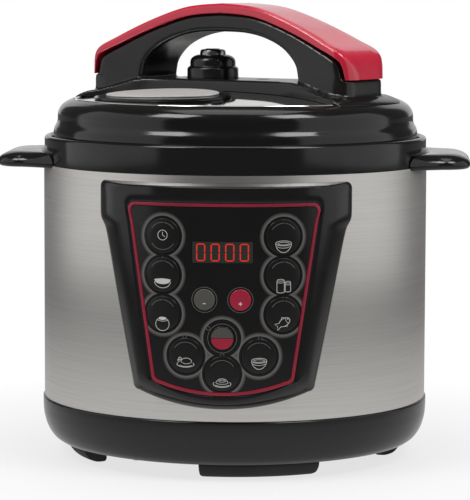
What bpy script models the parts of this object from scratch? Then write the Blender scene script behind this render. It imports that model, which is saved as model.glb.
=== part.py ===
"""Electric pressure cooker: base, brushed shell, control panel, pots and bayonet lid with arched handle.

Metres, +Z up. The origin is on the floor under the middle of the body, and the control panel faces -Y.
The lid, its handle and its valves stand at LID_YAW about Z, the position in which the lid lifts off.
"""

from math import cos, hypot, pi, radians, sin

import bmesh
import bpy
from mathutils import Vector

# Driving dimensions
SEGMENTS = 36
GAP = 0.0003
BODY_RADIUS = 0.140
SHELL_BOTTOM = 0.0435
SHELL_TOP = 0.2137
SHELL_THICKNESS = 0.0008
COLLAR_TOP = 0.234
BASE_RADIUS = 0.141
BASE_BOTTOM = 0.0108
FOOT_COUNT = 4
FOOT_ANGLE = radians(12)
FOOT_SPAN = radians(41)
OUTER_POT_RADIUS = 0.114
INNER_POT_RADIUS = 0.1108
INNER_POT_BOTTOM = 0.068
POT_RIM_TOP = 0.2246
LUG_COUNT = 6
LUG_HALF_ANGLE = radians(11.25)
SKIRT_RADIUS = 0.1218
TOOTH_RADIUS = 0.1273
LID_YAW = radians(-30)
HANDLE_END = 0.112
HANDLE_OPENING = 0.067
ARCH_FOOT = 0.277
BAR_HALF_LENGTH = 0.1105
BAR_HALF_WIDTH = 0.027
BAR_TOP = 0.275
HANDLE_PAD_HALF_ANGLE = radians(27.5)
CAP_THICKNESS = 0.007
BADGE_U = -0.016
BADGE_V = -0.071
BADGE_BASE_AXES = (0.055, 0.033)
BADGE_BASE_TOP = 0.0020
BADGE_AXES = (0.046, 0.025)
BADGE_TOP = 0.0031
VALVE_U = -0.020
FLOAT_U = 0.024
PANEL_RADIUS = 0.149
TRIM_WIDTH = 0.0024
KEY_RADIUS = 0.0122
CANCEL_RADIUS = 0.0083
STEP_KEY_RADIUS = 0.0074
KEY_CLEARANCE = 0.00035
PLATE_PITCH = 0.0172
SIDE_HANDLE_REACH = 0.172
SIDE_HANDLE_BOTTOM = 0.212
SIDE_HANDLE_TOP = 0.225
INLET_HALF_WIDTH = 0.0146
CUP_HALF_WIDTH = 0.0240
CUP_BACK = 0.1540
SCREW_RADIUS = 0.0015
SCREW_HEAD_RADIUS = 0.0036
SCREW_CLEARANCE = 0.0004
BOTTOM_SCREW_CIRCLE = 0.116

# The lid's dome, as (radius, height) from the axis outwards
DOME = [(0, 0.2670), (0.0400, 0.2662), (0.0850, 0.2632), (0.1160, 0.2596)]

# Each key: name, distance round the panel from its middle, height, radius
KEYS = [
    ("key_delay", -0.042, 0.1726, KEY_RADIUS),
    ("key_rice", -0.042, 0.1460, KEY_RADIUS),
    ("key_porridge", -0.042, 0.1192, KEY_RADIUS),
    ("key_meat", -0.0254, 0.0905, KEY_RADIUS),
    ("key_jelly", 0.0, 0.0784, KEY_RADIUS),
    ("key_soup", 0.0254, 0.0905, KEY_RADIUS),
    ("key_stew", 0.042, 0.1726, KEY_RADIUS),
    ("key_baby_food", 0.042, 0.1460, KEY_RADIUS),
    ("key_fish", 0.042, 0.1192, KEY_RADIUS),
    ("key_cancel", 0.0, 0.1030, CANCEL_RADIUS),
    ("key_minus", -0.0124, 0.1294, STEP_KEY_RADIUS),
    ("key_plus", 0.0124, 0.1294, STEP_KEY_RADIUS),
]

DISPLAY_HALF_WIDTH = 0.0213
DISPLAY_HALF_HEIGHT = 0.0077
DISPLAY_HEIGHT = 0.162

for leftover in list(bpy.data.objects):
    bpy.data.objects.remove(leftover, do_unlink=True)


def make_material(name, colour, roughness, metallic=0.0):
    material = bpy.data.materials.new(name)
    material.use_nodes = True
    shader = material.node_tree.nodes["Principled BSDF"]
    shader.inputs["Base Color"].default_value = (*colour, 1.0)
    shader.inputs["Roughness"].default_value = roughness
    shader.inputs["Metallic"].default_value = metallic
    return material


GLOSS_BLACK = make_material("gloss_black_plastic", (0.012, 0.012, 0.013), 0.18)
SATIN_BLACK = make_material("satin_black_plastic", (0.02, 0.02, 0.021), 0.4)
RUBBER = make_material("black_rubber", (0.03, 0.03, 0.03), 0.8)
BRUSHED_STEEL = make_material("brushed_steel", (0.55, 0.54, 0.53), 0.35, 1.0)
POLISHED_STEEL = make_material("polished_steel", (0.72, 0.71, 0.70), 0.12, 1.0)
ALUMINIUM = make_material("cast_aluminium", (0.66, 0.66, 0.67), 0.45, 1.0)
POT_COATING = make_material("pot_coating", (0.05, 0.05, 0.055), 0.45)
SPRING_STEEL = make_material("spring_steel", (0.5, 0.5, 0.5), 0.3, 1.0)
RED_PLASTIC = make_material("red_plastic", (0.42, 0.02, 0.035), 0.2)
TRIM_RED = make_material("trim_red", (0.30, 0.012, 0.03), 0.3)
KEY_GREY = make_material("key_grey", (0.09, 0.09, 0.09), 0.4)
WINDOW_RED = make_material("display_window", (0.03, 0.004, 0.004), 0.1)
SILICONE = make_material("white_silicone", (0.75, 0.74, 0.70), 0.6)
CIRCUIT_GREEN = make_material("circuit_board", (0.03, 0.12, 0.05), 0.5)
CUP_PLASTIC = make_material("cup_plastic", (0.55, 0.57, 0.6), 0.25)


def finish(name, bm, material, parent=None):
    """Turn bm into a named object with its faces pointing out."""
    bmesh.ops.recalc_face_normals(bm, faces=bm.faces)
    if bm.calc_volume(signed=True) < 0:
        bmesh.ops.reverse_faces(bm, faces=bm.faces)
    mesh = bpy.data.meshes.new(name)
    bm.to_mesh(mesh)
    bm.free()
    mesh.shade_smooth()
    mesh.set_sharp_from_angle(angle=radians(35))
    obj = bpy.data.objects.new(name, mesh)
    bpy.context.scene.collection.objects.link(obj)
    if material:
        mesh.materials.append(material)
    if parent:
        obj.parent = parent
    return obj


def helper(obj):
    obj.hide_render = True
    obj.display_type = "WIRE"
    return obj


def combine(obj, other, operation):
    """Add a Boolean of the helper other to obj; operation is DIFFERENCE, INTERSECT or UNION."""
    modifier = obj.modifiers.new(f"{operation.lower()}_{other.name}", "BOOLEAN")
    modifier.operation = operation
    modifier.solver = "EXACT"
    modifier.object = helper(other)
    return obj


def pivot(name, location, yaw=0.0, parent=None):
    empty = bpy.data.objects.new(name, None)
    bpy.context.scene.collection.objects.link(empty)
    empty.location = location
    empty.rotation_euler.z = yaw
    empty.parent = parent
    return empty


def bridge_rings(bm, rings, closed):
    """Quads between successive rings of vertices, triangles where two rings share a vertex on the axis,
    and nothing along the axis itself."""
    pairs = zip(rings, rings[1:] + rings[:1]) if closed else zip(rings, rings[1:])
    for first, second in pairs:
        for i in range(len(first)):
            j = (i + 1) % len(first)
            corners = [first[i], first[j], second[j], second[i]]
            unique = list(dict.fromkeys(corners))
            if len(unique) > 2:
                bm.faces.new(unique)


def turned(name, profile, material, parent=None, centre=(0, 0), segments=SEGMENTS):
    """A closed (radius, height) profile turned round the vertical axis through centre."""
    bm = bmesh.new()
    poles = {p: bm.verts.new((centre[0], centre[1], p[1])) for p in profile if p[0] == 0}
    rings = []
    for k in range(segments):
        angle = 2 * pi * k / segments
        ring = []
        for point in profile:
            if point[0] == 0:
                ring.append(poles[point])
            else:
                x = centre[0] + point[0] * cos(angle)
                y = centre[1] + point[0] * sin(angle)
                ring.append(bm.verts.new((x, y, point[1])))
        rings.append(ring)
    bridge_rings(bm, rings, closed=True)
    return finish(name, bm, material, parent)


def toothed(name, profile_at, centres, half_angle, material, parent=None):
    """Like turned, with profile_at(True) within half_angle of each centre, profile_at(False) elsewhere."""
    angles = [2 * pi * k / SEGMENTS for k in range(SEGMENTS)]

    def in_tooth(angle):
        return any(abs((angle - c + pi) % (2 * pi) - pi) < half_angle for c in centres)

    bm = bmesh.new()
    poles = {}
    rings = []
    for angle in angles:
        ring = []
        for i, (r, z) in enumerate(profile_at(in_tooth(angle))):
            if r == 0:
                if i not in poles:
                    poles[i] = bm.verts.new((0, 0, z))
                ring.append(poles[i])
            else:
                ring.append(bm.verts.new((r * cos(angle), r * sin(angle), z)))
        rings.append(ring)
    bridge_rings(bm, rings, closed=True)
    return finish(name, bm, material, parent)


def sector(name, profile, start, end, steps, material, parent=None):
    """A closed (radius, height) profile swept round Z from start to end, with flat ends."""
    bm = bmesh.new()
    rings = []
    for k in range(steps + 1):
        angle = start + (end - start) * k / steps
        rings.append([bm.verts.new((r * cos(angle), r * sin(angle), z)) for r, z in profile])
    bridge_rings(bm, rings, closed=False)
    bm.faces.new(rings[0])
    bm.faces.new(rings[-1])
    return finish(name, bm, material, parent)


def box(name, low, high, material=None, parent=None):
    bm = bmesh.new()
    bmesh.ops.create_cube(bm, size=1.0)
    low, high = Vector(low), Vector(high)
    for vert in bm.verts:
        vert.co = Vector(low[i] + (vert.co[i] + 0.5) * (high[i] - low[i]) for i in range(3))
    return finish(name, bm, material, parent)


def rod(name, centre, radius, low, high, material=None, parent=None, axis="Z", segments=12):
    """A plain cylinder along Z or X from low to high; centre gives the other two coordinates."""
    bm = bmesh.new()
    ends = []
    for along in (low, high):
        ring = []
        for k in range(segments):
            a = radius * cos(2 * pi * k / segments)
            b = radius * sin(2 * pi * k / segments)
            if axis == "Z":
                ring.append(bm.verts.new((centre[0] + a, centre[1] + b, along)))
            else:
                ring.append(bm.verts.new((along, centre[0] + a, centre[1] + b)))
        ends.append(ring)
    bridge_rings(bm, ends, closed=False)
    bm.faces.new(ends[0])
    bm.faces.new(ends[1])
    return finish(name, bm, material, parent)


def screw(name, centre, head_low, head_high, tip, axis="Z", parent=None):
    """A pan-head screw: a head from head_low to head_high and a shank that ends at tip."""
    head = rod(name, centre, SCREW_HEAD_RADIUS, head_low, head_high, SPRING_STEEL, parent, axis)
    middle = (head_low + head_high) / 2
    low, high = min(middle, tip), max(middle, tip)
    shank = rod(name + "_shank", centre, SCREW_RADIUS, low, high, SPRING_STEEL, parent, axis)
    return combine(head, shank, "UNION")


def screw_hole(obj, centre, low, high, axis="Z", parent=None):
    name = f"{obj.name}_hole_{len(obj.modifiers)}"
    drill = rod(name, centre, SCREW_RADIUS + SCREW_CLEARANCE, low, high, None, parent, axis)
    return combine(obj, drill, "DIFFERENCE")


def prism(name, outline, low, high, material=None, parent=None):
    """A closed (x, y) outline raised from low to high."""
    bm = bmesh.new()
    bottom = [bm.verts.new((x, y, low)) for x, y in outline]
    top = [bm.verts.new((x, y, high)) for x, y in outline]
    bridge_rings(bm, [bottom, top], closed=False)
    bm.faces.new(bottom)
    bm.faces.new(top)
    return finish(name, bm, material, parent)


def smooth_curve(points, samples):
    """Catmull-Rom curve through points, with samples steps in each span."""
    ends = [points[0]] + points + [points[-1]]
    curve = []
    for k in range(1, len(ends) - 2):
        p0, p1, p2, p3 = (Vector(ends[k + i - 1]) for i in range(4))
        for s in range(samples):
            t = s / samples
            a = 2 * p1 + (p2 - p0) * t + (2 * p0 - 5 * p1 + 4 * p2 - p3) * t * t
            curve.append((a + (3 * p1 - p0 - 3 * p2 + p3) * t**3) / 2)
    curve.append(Vector(points[-1]))
    return curve


def offset_curve(curve, distance):
    """The curve moved to its right-hand side by distance."""
    moved = []
    for k, point in enumerate(curve):
        along = curve[min(k + 1, len(curve) - 1)] - curve[max(k - 1, 0)]
        along.normalize()
        moved.append(point + distance * Vector((along.y, -along.x)))
    return moved


# The base: feet, bottom cover, housing and the parts in it


def make_base():
    r = BASE_RADIUS
    outer = [
        (r, 0.0432),
        (r, 0.038),
        (r - 0.0006, 0.030),
        (r - 0.003, 0.0215),
        (r - 0.007, 0.015),
        (r - 0.0115, 0.0116),
        (r - 0.015, BASE_BOTTOM),
        (0.124, BASE_BOTTOM),
    ]
    inner = [
        (0.124, 0.0140),
        (0.108, 0.0140),
        (0.108, 0.0168),
        (0.1275, 0.0168),
        (0.1342, 0.0240),
        (0.1364, 0.0310),
        (0.1364, 0.0500),
        (0.1389, 0.0500),
        (0.1389, 0.0432),
    ]
    housing = turned("base_housing", outer + inner, GLOSS_BLACK)
    cover_profile = [
        (0, 0.0137),
        (0.1236, 0.0137),
        (0.1236, 0.0111),
        (0.090, 0.0111),
        (0.087, 0.0121),
        (0, 0.0121),
    ]
    cover = turned("bottom_cover", cover_profile, SATIN_BLACK)
    foot_profile = [
        (0.1045, BASE_BOTTOM),
        (0.1235, BASE_BOTTOM),
        (0.1225, 0.0065),
        (0.1190, 0.0022),
        (0.1130, 0.0),
        (0.1055, 0.0),
    ]
    for k in range(FOOT_COUNT):
        middle = FOOT_ANGLE - pi / 2 + 2 * pi * k / FOOT_COUNT
        start, end = middle - FOOT_SPAN / 2, middle + FOOT_SPAN / 2
        sector(f"foot_{k + 1}", foot_profile, start, end, 6, RUBBER)
        angle = middle + pi / FOOT_COUNT
        place = (BOTTOM_SCREW_CIRCLE * cos(angle), BOTTOM_SCREW_CIRCLE * sin(angle))
        screw(f"bottom_screw_{k + 1}", place, 0.0086, 0.0108, 0.0200)
        screw_hole(cover, place, 0.010, 0.015)
        screw_hole(housing, place, 0.013, 0.018)
    make_inlet(housing)
    make_power_board()


def make_inlet(housing):
    """The rear appliance inlet: a block set in the base wall, with a socket and three pins."""
    w = INLET_HALF_WIDTH
    window = box("inlet_window", (-w - 0.0004, 0.120, 0.0186), (w + 0.0004, 0.145, 0.0414))
    combine(housing, window, "DIFFERENCE")
    inlet = box("power_inlet", (-w, 0.112, 0.0190), (w, 0.1410, 0.0410), SATIN_BLACK)
    right = [(0.0115, 0.0225), (0.0115, 0.0335), (0.0075, 0.0375)]
    socket = right + [(-x, z) for x, z in right[::-1]]
    bm = bmesh.new()
    front = [bm.verts.new((x, 0.145, z)) for x, z in socket]
    back = [bm.verts.new((x, 0.124, z)) for x, z in socket]
    bridge_rings(bm, [front, back], closed=False)
    bm.faces.new(front)
    bm.faces.new(back)
    combine(inlet, finish("inlet_socket", bm, None), "DIFFERENCE")
    for k, (x, z) in enumerate([(-0.007, 0.0270), (0.007, 0.0270), (0.0, 0.0325)]):
        pin = box(f"inlet_pin_{k}", (x - 0.001, 0.1225, z - 0.002), (x + 0.001, 0.1360, z + 0.002))
        combine(inlet, pin, "UNION")


def make_power_board():
    board = box("power_board", (-0.095, -0.030, 0.0240), (-0.005, 0.050, 0.0256), CIRCUIT_GREEN)
    blocks = [
        ((-0.090, -0.020, 0.0250), (-0.070, 0.005, 0.0400)),
        ((-0.060, 0.010, 0.0250), (-0.030, 0.040, 0.0420)),
        ((-0.025, -0.022, 0.0250), (-0.010, 0.000, 0.0380)),
    ]
    for k, (low, high) in enumerate(blocks):
        combine(board, box(f"board_block_{k}", low, high), "UNION")


# The body: shell, collar, side handles and outer pot


def make_body():
    r = BODY_RADIUS
    inside = r - SHELL_THICKNESS
    shell_profile = [(r, SHELL_TOP), (r, SHELL_BOTTOM), (inside, SHELL_BOTTOM), (inside, SHELL_TOP)]
    shell = turned("outer_shell", shell_profile, BRUSHED_STEEL)
    window = box("shell_window", (-0.046, -0.150, 0.084), (0.046, -0.120, 0.191))
    combine(shell, window, "DIFFERENCE")

    collar_profile = [
        (0.1396, SHELL_TOP + GAP),
        (0.1389, SHELL_TOP + GAP),
        (0.1389, 0.2060),
        (0.1362, 0.2060),
        (0.1362, 0.2230),
        (0.1322, 0.2230),
        (0.1322, 0.2260),
        (0.1349, 0.2260),
        (0.1349, 0.2315),
        (0.1354, COLLAR_TOP - 0.0006),
        (0.1370, COLLAR_TOP),
        (0.1386, COLLAR_TOP - 0.0006),
        (0.1396, COLLAR_TOP - 0.0026),
    ]
    collar = turned("upper_collar", collar_profile, GLOSS_BLACK)
    for side, name in ((-1, "left"), (1, "right")):
        make_side_handle(f"side_handle_{name}", side)
        low, high = sorted((side * 0.134, side * 0.142))
        screw_hole(collar, (0, 0.2170), low, high, "X")

    t = 0.0015
    w = OUTER_POT_RADIUS

    def pot_profile(lug):
        lug_radius = 0.1246 if lug else 0.1279
        return [
            (0.040, 0.0545),
            (w - 0.008, 0.0545),
            (w, 0.0625),
            (w, 0.2120),
            (0.1297, 0.2120),
            (0.1297, 0.2263),
            (0.1338, 0.2263),
            (0.1338, 0.2283),
            (lug_radius, 0.2283),
            (lug_radius, 0.2263),
            (0.1282, 0.2263),
            (0.1282, 0.2135),
            (w, 0.2135),
            (w, 0.2225),
            (w - t, 0.2225),
            (w - t, 0.0631),
            (w - 0.0086, 0.0560),
            (0.040, 0.0560),
        ]

    centres = [2 * pi * k / LUG_COUNT for k in range(LUG_COUNT)]
    toothed("outer_pot", pot_profile, centres, LUG_HALF_ANGLE, ALUMINIUM)


def side_handle_outline(inset):
    """Half a rounded tongue that grows from the collar, mirrored about X; inset shrinks it all round."""
    root = 0.1400 + inset
    reach = SIDE_HANDLE_REACH - inset
    root_half = radians(24.6) - inset / root
    corner = 0.020 - inset
    half = 0.046 - inset
    points = [(root * cos(root_half * k / 6), root * sin(root_half * k / 6)) for k in range(7)]
    for k in range(7):
        angle = radians(90) * (1 - k / 6)
        points.append((reach - corner + corner * cos(angle), half - corner + corner * sin(angle)))
    mirrored = [(x, -y) for x, y in points[:0:-1]]
    return points + mirrored


def make_side_handle(name, side):
    outline = [(side * x, y) for x, y in side_handle_outline(GAP)]
    handle = prism(name, outline, SIDE_HANDLE_BOTTOM, SIDE_HANDLE_TOP, GLOSS_BLACK)
    bevel = handle.modifiers.new("rounded_top", "BEVEL")
    bevel.width = 0.0016
    bevel.segments = 1
    bevel.limit_method = "ANGLE"
    bevel.angle_limit = radians(60)
    hollow = [(side * x, y) for x, y in side_handle_outline(0.0040)]
    under = prism(name + "_hollow", hollow, SIDE_HANDLE_BOTTOM - 0.002, SIDE_HANDLE_TOP - 0.0035)
    combine(handle, under, "DIFFERENCE")
    low, high = sorted((side * 0.138, side * 0.1455))
    screw_hole(handle, (0, 0.2170), low, high, "X")
    screw(name + "_screw", (0, 0.2170), side * 0.1444, side * 0.1466, side * 0.1340, "X")


# The cooking parts: heater, sensor and inner pot


def make_heater():
    plate_profile = [
        (0.0150, 0.0676),
        (0.0880, 0.0676),
        (0.0920, 0.0650),
        (0.0920, 0.0600),
        (0.0860, 0.0576),
        (0.0150, 0.0576),
    ]
    turned("heater_plate", plate_profile, ALUMINIUM)
    support_profile = [
        (0.0050, 0.0455),
        (0.0380, 0.0455),
        (0.0380, 0.0527),
        (0.0700, 0.0527),
        (0.0700, 0.0542),
        (0.0380, 0.0542),
        (0.0380, 0.0573),
        (0.0365, 0.0573),
        (0.0365, 0.0470),
        (0.0050, 0.0470),
    ]
    turned("heater_support", support_profile, BRUSHED_STEEL, segments=24)
    sensor_profile = [
        (0, 0.0440),
        (0.0032, 0.0440),
        (0.0032, 0.0620),
        (0.0125, 0.0620),
        (0.0125, 0.0665),
        (0.0110, 0.0677),
        (0, 0.0677),
    ]
    turned("sensor_cap", sensor_profile, ALUMINIUM, segments=16)
    make_spring("sensor_spring", 0.0480, 0.0612, 0.0080, 3)
    box("pressure_switch", (0.074, -0.012, 0.0400), (0.096, 0.012, 0.0540), SATIN_BLACK)


def make_spring(name, low, high, radius, turns):
    """A round-wire coil spring whose wire lies between low and high."""
    steps = 8 * turns
    curve = bpy.data.curves.new(name, "CURVE")
    curve.dimensions = "3D"
    curve.bevel_depth = 0.0006
    curve.bevel_resolution = 1
    curve.use_fill_caps = True
    spline = curve.splines.new("POLY")
    spline.points.add(steps)
    for k in range(steps + 1):
        angle = 2 * pi * turns * k / steps
        height = low + 0.0008 + (high - low - 0.0016) * k / steps
        spline.points[k].co = (radius * cos(angle), radius * sin(angle), height, 1)
    curve.materials.append(SPRING_STEEL)
    obj = bpy.data.objects.new(name, curve)
    bpy.context.scene.collection.objects.link(obj)
    return obj


def make_inner_pot():
    r = INNER_POT_RADIUS
    z = INNER_POT_BOTTOM
    profile = [
        (0, z),
        (0.0960, z),
        (0.1045, z + 0.0025),
        (0.1092, z + 0.0080),
        (r, z + 0.0150),
        (r, 0.2228),
        (0.1172, 0.2228),
        (0.1172, POT_RIM_TOP),
        (r - 0.0015, POT_RIM_TOP),
        (r - 0.0015, z + 0.0155),
        (0.1079, z + 0.0092),
        (0.1035, z + 0.0041),
        (0.0955, z + 0.0016),
        (0, z + 0.0016),
    ]
    turned("inner_pot", profile, POT_COATING)


# The control panel: bezel, trim, face, window, keys and board


def bent(bm):
    """Wrap (distance round, radius, height) vertices round the body's axis."""
    for vert in bm.verts:
        along, radius, height = vert.co
        angle = along / PANEL_RADIUS
        vert.co = (radius * sin(angle), -radius * cos(angle), height)
    return bm


def panel_outline(top, shoulder, waist, foot, sagitta, corner):
    """Clockwise outline from (half-width, height) pairs, with rounded corners and a bowed bottom edge."""
    half = []
    steps = 7
    for k in range(1, steps):
        half.append(((top[0] - corner) * k / steps, top[1]))
    for k in range(4):
        turn = radians(30) * k
        half.append((top[0] - corner + corner * sin(turn), top[1] - corner + corner * cos(turn)))
    half += [shoulder, waist]
    for k in range(4):
        turn = radians(30) * k
        half.append((foot[0] - corner + corner * cos(turn), foot[1] + corner - corner * sin(turn)))
    for k in range(1, steps):
        fraction = 1 - k / steps
        half.append(((foot[0] - corner) * fraction, foot[1] - sagitta * (1 - fraction**2)))
    left = [(-s, z) for s, z in half[::-1]]
    return [(0, top[1])] + half + [(0, foot[1] - sagitta)] + left


def face_outline(inset):
    """The outline of the bezel's opening, shrunk by inset."""
    return panel_outline(
        (0.0693 - inset, 0.1958 - inset),
        (0.0672 - inset, 0.1815),
        (0.0662 - inset, 0.1750),
        (0.0508 - inset, 0.0700 + inset),
        0.0074,
        0.0055 - inset / 2,
    )


def bent_plate(name, outline, back, front, material=None, parent=None):
    """A plate cut from the flat and wrapped round the body, between two radii."""
    bm = bmesh.new()
    bm.faces.new([bm.verts.new((s, back, z)) for s, z in outline])
    first = int(min(s for s, _ in outline) / PLATE_PITCH)
    last = int(max(s for s, _ in outline) / PLATE_PITCH)
    for k in range(first, last + 1):
        geometry = bm.verts[:] + bm.edges[:] + bm.faces[:]
        place = (k * PLATE_PITCH, 0, 0)
        bmesh.ops.bisect_plane(bm, geom=geometry, dist=1e-5, plane_co=place, plane_no=(1, 0, 0))
    raised = bmesh.ops.extrude_face_region(bm, geom=bm.faces[:])["geom"]
    for vert in raised:
        if isinstance(vert, bmesh.types.BMVert):
            vert.co.y = front
    bmesh.ops.triangulate(bm, faces=bm.faces[:])
    return finish(name, bent(bm), material, parent)


def bent_frame(name, loops, material):
    """A closed ring through outlines of equal length, each given with its radius."""
    bm = bmesh.new()
    rings = [[bm.verts.new((s, radius, z)) for s, z in loop] for loop, radius in loops]
    bridge_rings(bm, rings, closed=True)
    return finish(name, bent(bm), material)


def circle(centre_s, centre_z, radius, segments=14):
    return [
        (centre_s + radius * sin(2 * pi * k / segments), centre_z + radius * cos(2 * pi * k / segments))
        for k in range(segments)
    ]


def make_key(name, along, height, radius):
    """A key cap with its face on the panel's curve; its empty stands at the middle of its back."""
    angle = along / PANEL_RADIUS
    back, front = 0.1440, 0.1492
    guide = pivot(name + "_guide", (back * sin(angle), -back * cos(angle), height), angle)
    bm = bmesh.new()
    rim = circle(along, height, radius)
    back_ring = [bm.verts.new((s, back, z)) for s, z in rim]
    front_ring = [bm.verts.new((s, front, z)) for s, z in rim]
    middle = bm.verts.new((along, front + 0.0001, height))
    bridge_rings(bm, [back_ring, front_ring], closed=False)
    bm.faces.new(back_ring)
    for k, vert in enumerate(front_ring):
        bm.faces.new((vert, front_ring[(k + 1) % len(front_ring)], middle))
    key = finish(name, bent(bm), KEY_GREY)
    key.parent = guide
    key.matrix_parent_inverse = guide.matrix_basis.inverted()
    return key


def make_panel():
    outer = panel_outline(
        (0.0996, 0.2086), (0.0996, 0.1832), (0.0938, 0.1753), (0.0690, 0.0640), 0.0114, 0.0050
    )
    crease = panel_outline(
        (0.0750, 0.2060), (0.0752, 0.1815), (0.0738, 0.1750), (0.0583, 0.0725), 0.0138, 0.0080
    )
    opening = face_outline(0)

    def between(first, second, share):
        pairs = zip(first, second)
        return [(a[0] + (b[0] - a[0]) * share, a[1] + (b[1] - a[1]) * share) for a, b in pairs]

    loops = [
        (outer, 0.1406),
        (outer, 0.1412),
        (between(outer, crease, 0.7), 0.1484),
        (crease, 0.1496),
        (opening, 0.1494),
        (opening, 0.1412),
        (between(opening, outer, 0.3), 0.1410),
        (between(opening, outer, 0.6), 0.1409),
        (between(opening, outer, 0.85), 0.1407),
    ]
    bent_frame("panel_bezel", loops, GLOSS_BLACK)

    trim_outer, trim_inner = face_outline(GAP), face_outline(GAP + TRIM_WIDTH)
    back, front = 0.1458, 0.1492
    trim_loops = [(trim_outer, back), (trim_outer, front), (trim_inner, front), (trim_inner, back)]
    bent_frame("panel_trim", trim_loops, TRIM_RED)
    face = bent_plate("panel_face", face_outline(2 * GAP + TRIM_WIDTH), 0.1455, 0.1487, GLOSS_BLACK)
    z = DISPLAY_HEIGHT

    def window_outline(inset):
        w, h = DISPLAY_HALF_WIDTH - inset, DISPLAY_HALF_HEIGHT - inset
        return [(-w, z - h), (w, z - h), (w, z + h), (-w, z + h)]

    combine(face, bent_plate("window_cutter", window_outline(0), 0.143, 0.151), "DIFFERENCE")
    for name, along, height, radius in KEYS:
        hole = circle(along, height, radius + KEY_CLEARANCE)
        combine(face, bent_plate(name + "_hole", hole, 0.143, 0.151), "DIFFERENCE")
    bent_plate("display_window", window_outline(GAP), 0.1468, 0.1486, WINDOW_RED)
    for key in KEYS:
        make_key(*key)
    board = box("control_board", (-0.040, -0.1315, 0.088), (0.040, -0.1299, 0.187), CIRCUIT_GREEN)
    digits = box("digit_block", (-0.0205, -0.1420, z - 0.007), (0.0205, -0.1310, z + 0.007))
    combine(board, digits, "UNION")
    chip = box("board_chip", (-0.012, -0.1305, 0.098), (0.012, -0.1265, 0.116))
    combine(board, chip, "UNION")


# The condensate cup at the back


def make_condensate_cup():
    """A small open cup between two rails, hung on a bracket on the shell's back under the collar."""
    w = CUP_HALF_WIDTH
    rail_x = w + 0.0015
    shelf = [(-rail_x, 0.1394, 0.1890), (rail_x, CUP_BACK, 0.1920)]
    bracket = box("condensate_bracket", *shelf, GLOSS_BLACK)
    wall = box("bracket_wall", (-rail_x, 0.1395, 0.1500), (rail_x, 0.1424, 0.1915))
    combine(bracket, wall, "UNION")
    for side in (-1, 1):
        low = (side * rail_x - 0.0010, 0.1410, 0.1800)
        high = (side * rail_x + 0.0010, CUP_BACK - 0.0004, 0.1915)
        combine(bracket, box(f"bracket_rail_{side}", low, high), "UNION")
    room = [(0, 0.140), (0.1406, 0.140), (0.1406, 0.200), (0, 0.200)]
    combine(bracket, turned("bracket_cut", room, None), "DIFFERENCE")
    spout = rod("bracket_spout", (0, 0.1488), 0.0025, 0.1880, 0.1930)
    combine(bracket, spout, "DIFFERENCE")
    cup = box("condensate_cup", (-w, 0.1428, 0.1450), (w, CUP_BACK, 0.1884), CUP_PLASTIC)
    t = 0.0016
    cavity = box("cup_cavity", (-w + t, 0.1428 + t, 0.1450 + t), (w - t, CUP_BACK - t, 0.1900))
    combine(cup, cavity, "DIFFERENCE")


# The lid


def make_lid():
    lid = pivot("lid_pivot", (0, 0, 0), LID_YAW)
    s = SKIRT_RADIUS

    def plate_profile(tooth):
        tooth_radius = TOOTH_RADIUS if tooth else s + 0.0006
        return DOME + [
            (0.1202, 0.2572),
            (s, 0.2530),
            (s, 0.2256),
            (tooth_radius, 0.2256),
            (tooth_radius, 0.2226),
            (s - 0.0015, 0.2226),
            (s - 0.0015, 0.2526),
            (0.1152, 0.2580),
            (0.0850, 0.2615),
            (0.0400, 0.2645),
            (0, 0.2654),
        ]

    centres = [2 * pi * (k + 0.5) / LUG_COUNT - LID_YAW for k in range(LUG_COUNT)]
    plate = toothed("lid_plate", plate_profile, centres, LUG_HALF_ANGLE, POLISHED_STEEL, lid)
    for name, u, radius in (("steam_hole", VALVE_U, 0.0063), ("float_hole", FLOAT_U, 0.0042)):
        drill = rod(name, (u, 0), radius, 0.255, 0.270, None, lid, segments=16)
        combine(plate, drill, "DIFFERENCE")

    cover_profile = [
        (0.1330, 0.2324),
        (0.1330, 0.2362),
        (0.1323, 0.2397),
        (0.1302, 0.2443),
        (0.1296, 0.2510),
        (0.1272, 0.2555),
        (0.1234, 0.2584),
        (0.1196, 0.2602),
        (0.1183, 0.2600),
        (0.1183, 0.2593),
        (0.1208, 0.2578),
        (0.1226, 0.2534),
        (0.1226, 0.2500),
        (0.1264, 0.2494),
        (0.1270, 0.2432),
        (0.1297, 0.2386),
        (0.1304, 0.2324),
    ]
    turned("lid_cover", cover_profile, GLOSS_BLACK, lid)
    make_handle(lid, plate)
    make_seals(lid)
    make_valves(lid)


def arch(name, outer, inner, half_width, section, material, parent):
    """Sweep section along an arch. Each (across, depth) of section is a share of the half width and of
    the way from the outer curve to the inner one, both of them lists of (u, z)."""
    bm = bmesh.new()
    rings = []
    for top, bottom in zip(outer, inner):
        ring = []
        for across, depth in section:
            u, z = top + (bottom - top) * depth
            ring.append(bm.verts.new((u, across * half_width(top.x), z)))
        rings.append(ring)
    bridge_rings(bm, rings, closed=False)
    bm.faces.new(rings[0])
    bm.faces.new(rings[-1])
    return finish(name, bm, material, parent)


def mirrored_curve(half, samples):
    """A smooth curve through half, given from the middle to the right end, and its mirror image."""
    right = smooth_curve([Vector(p) for p in half], samples)
    return [Vector((-p.x, p.y)) for p in right[:0:-1]] + right


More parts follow.
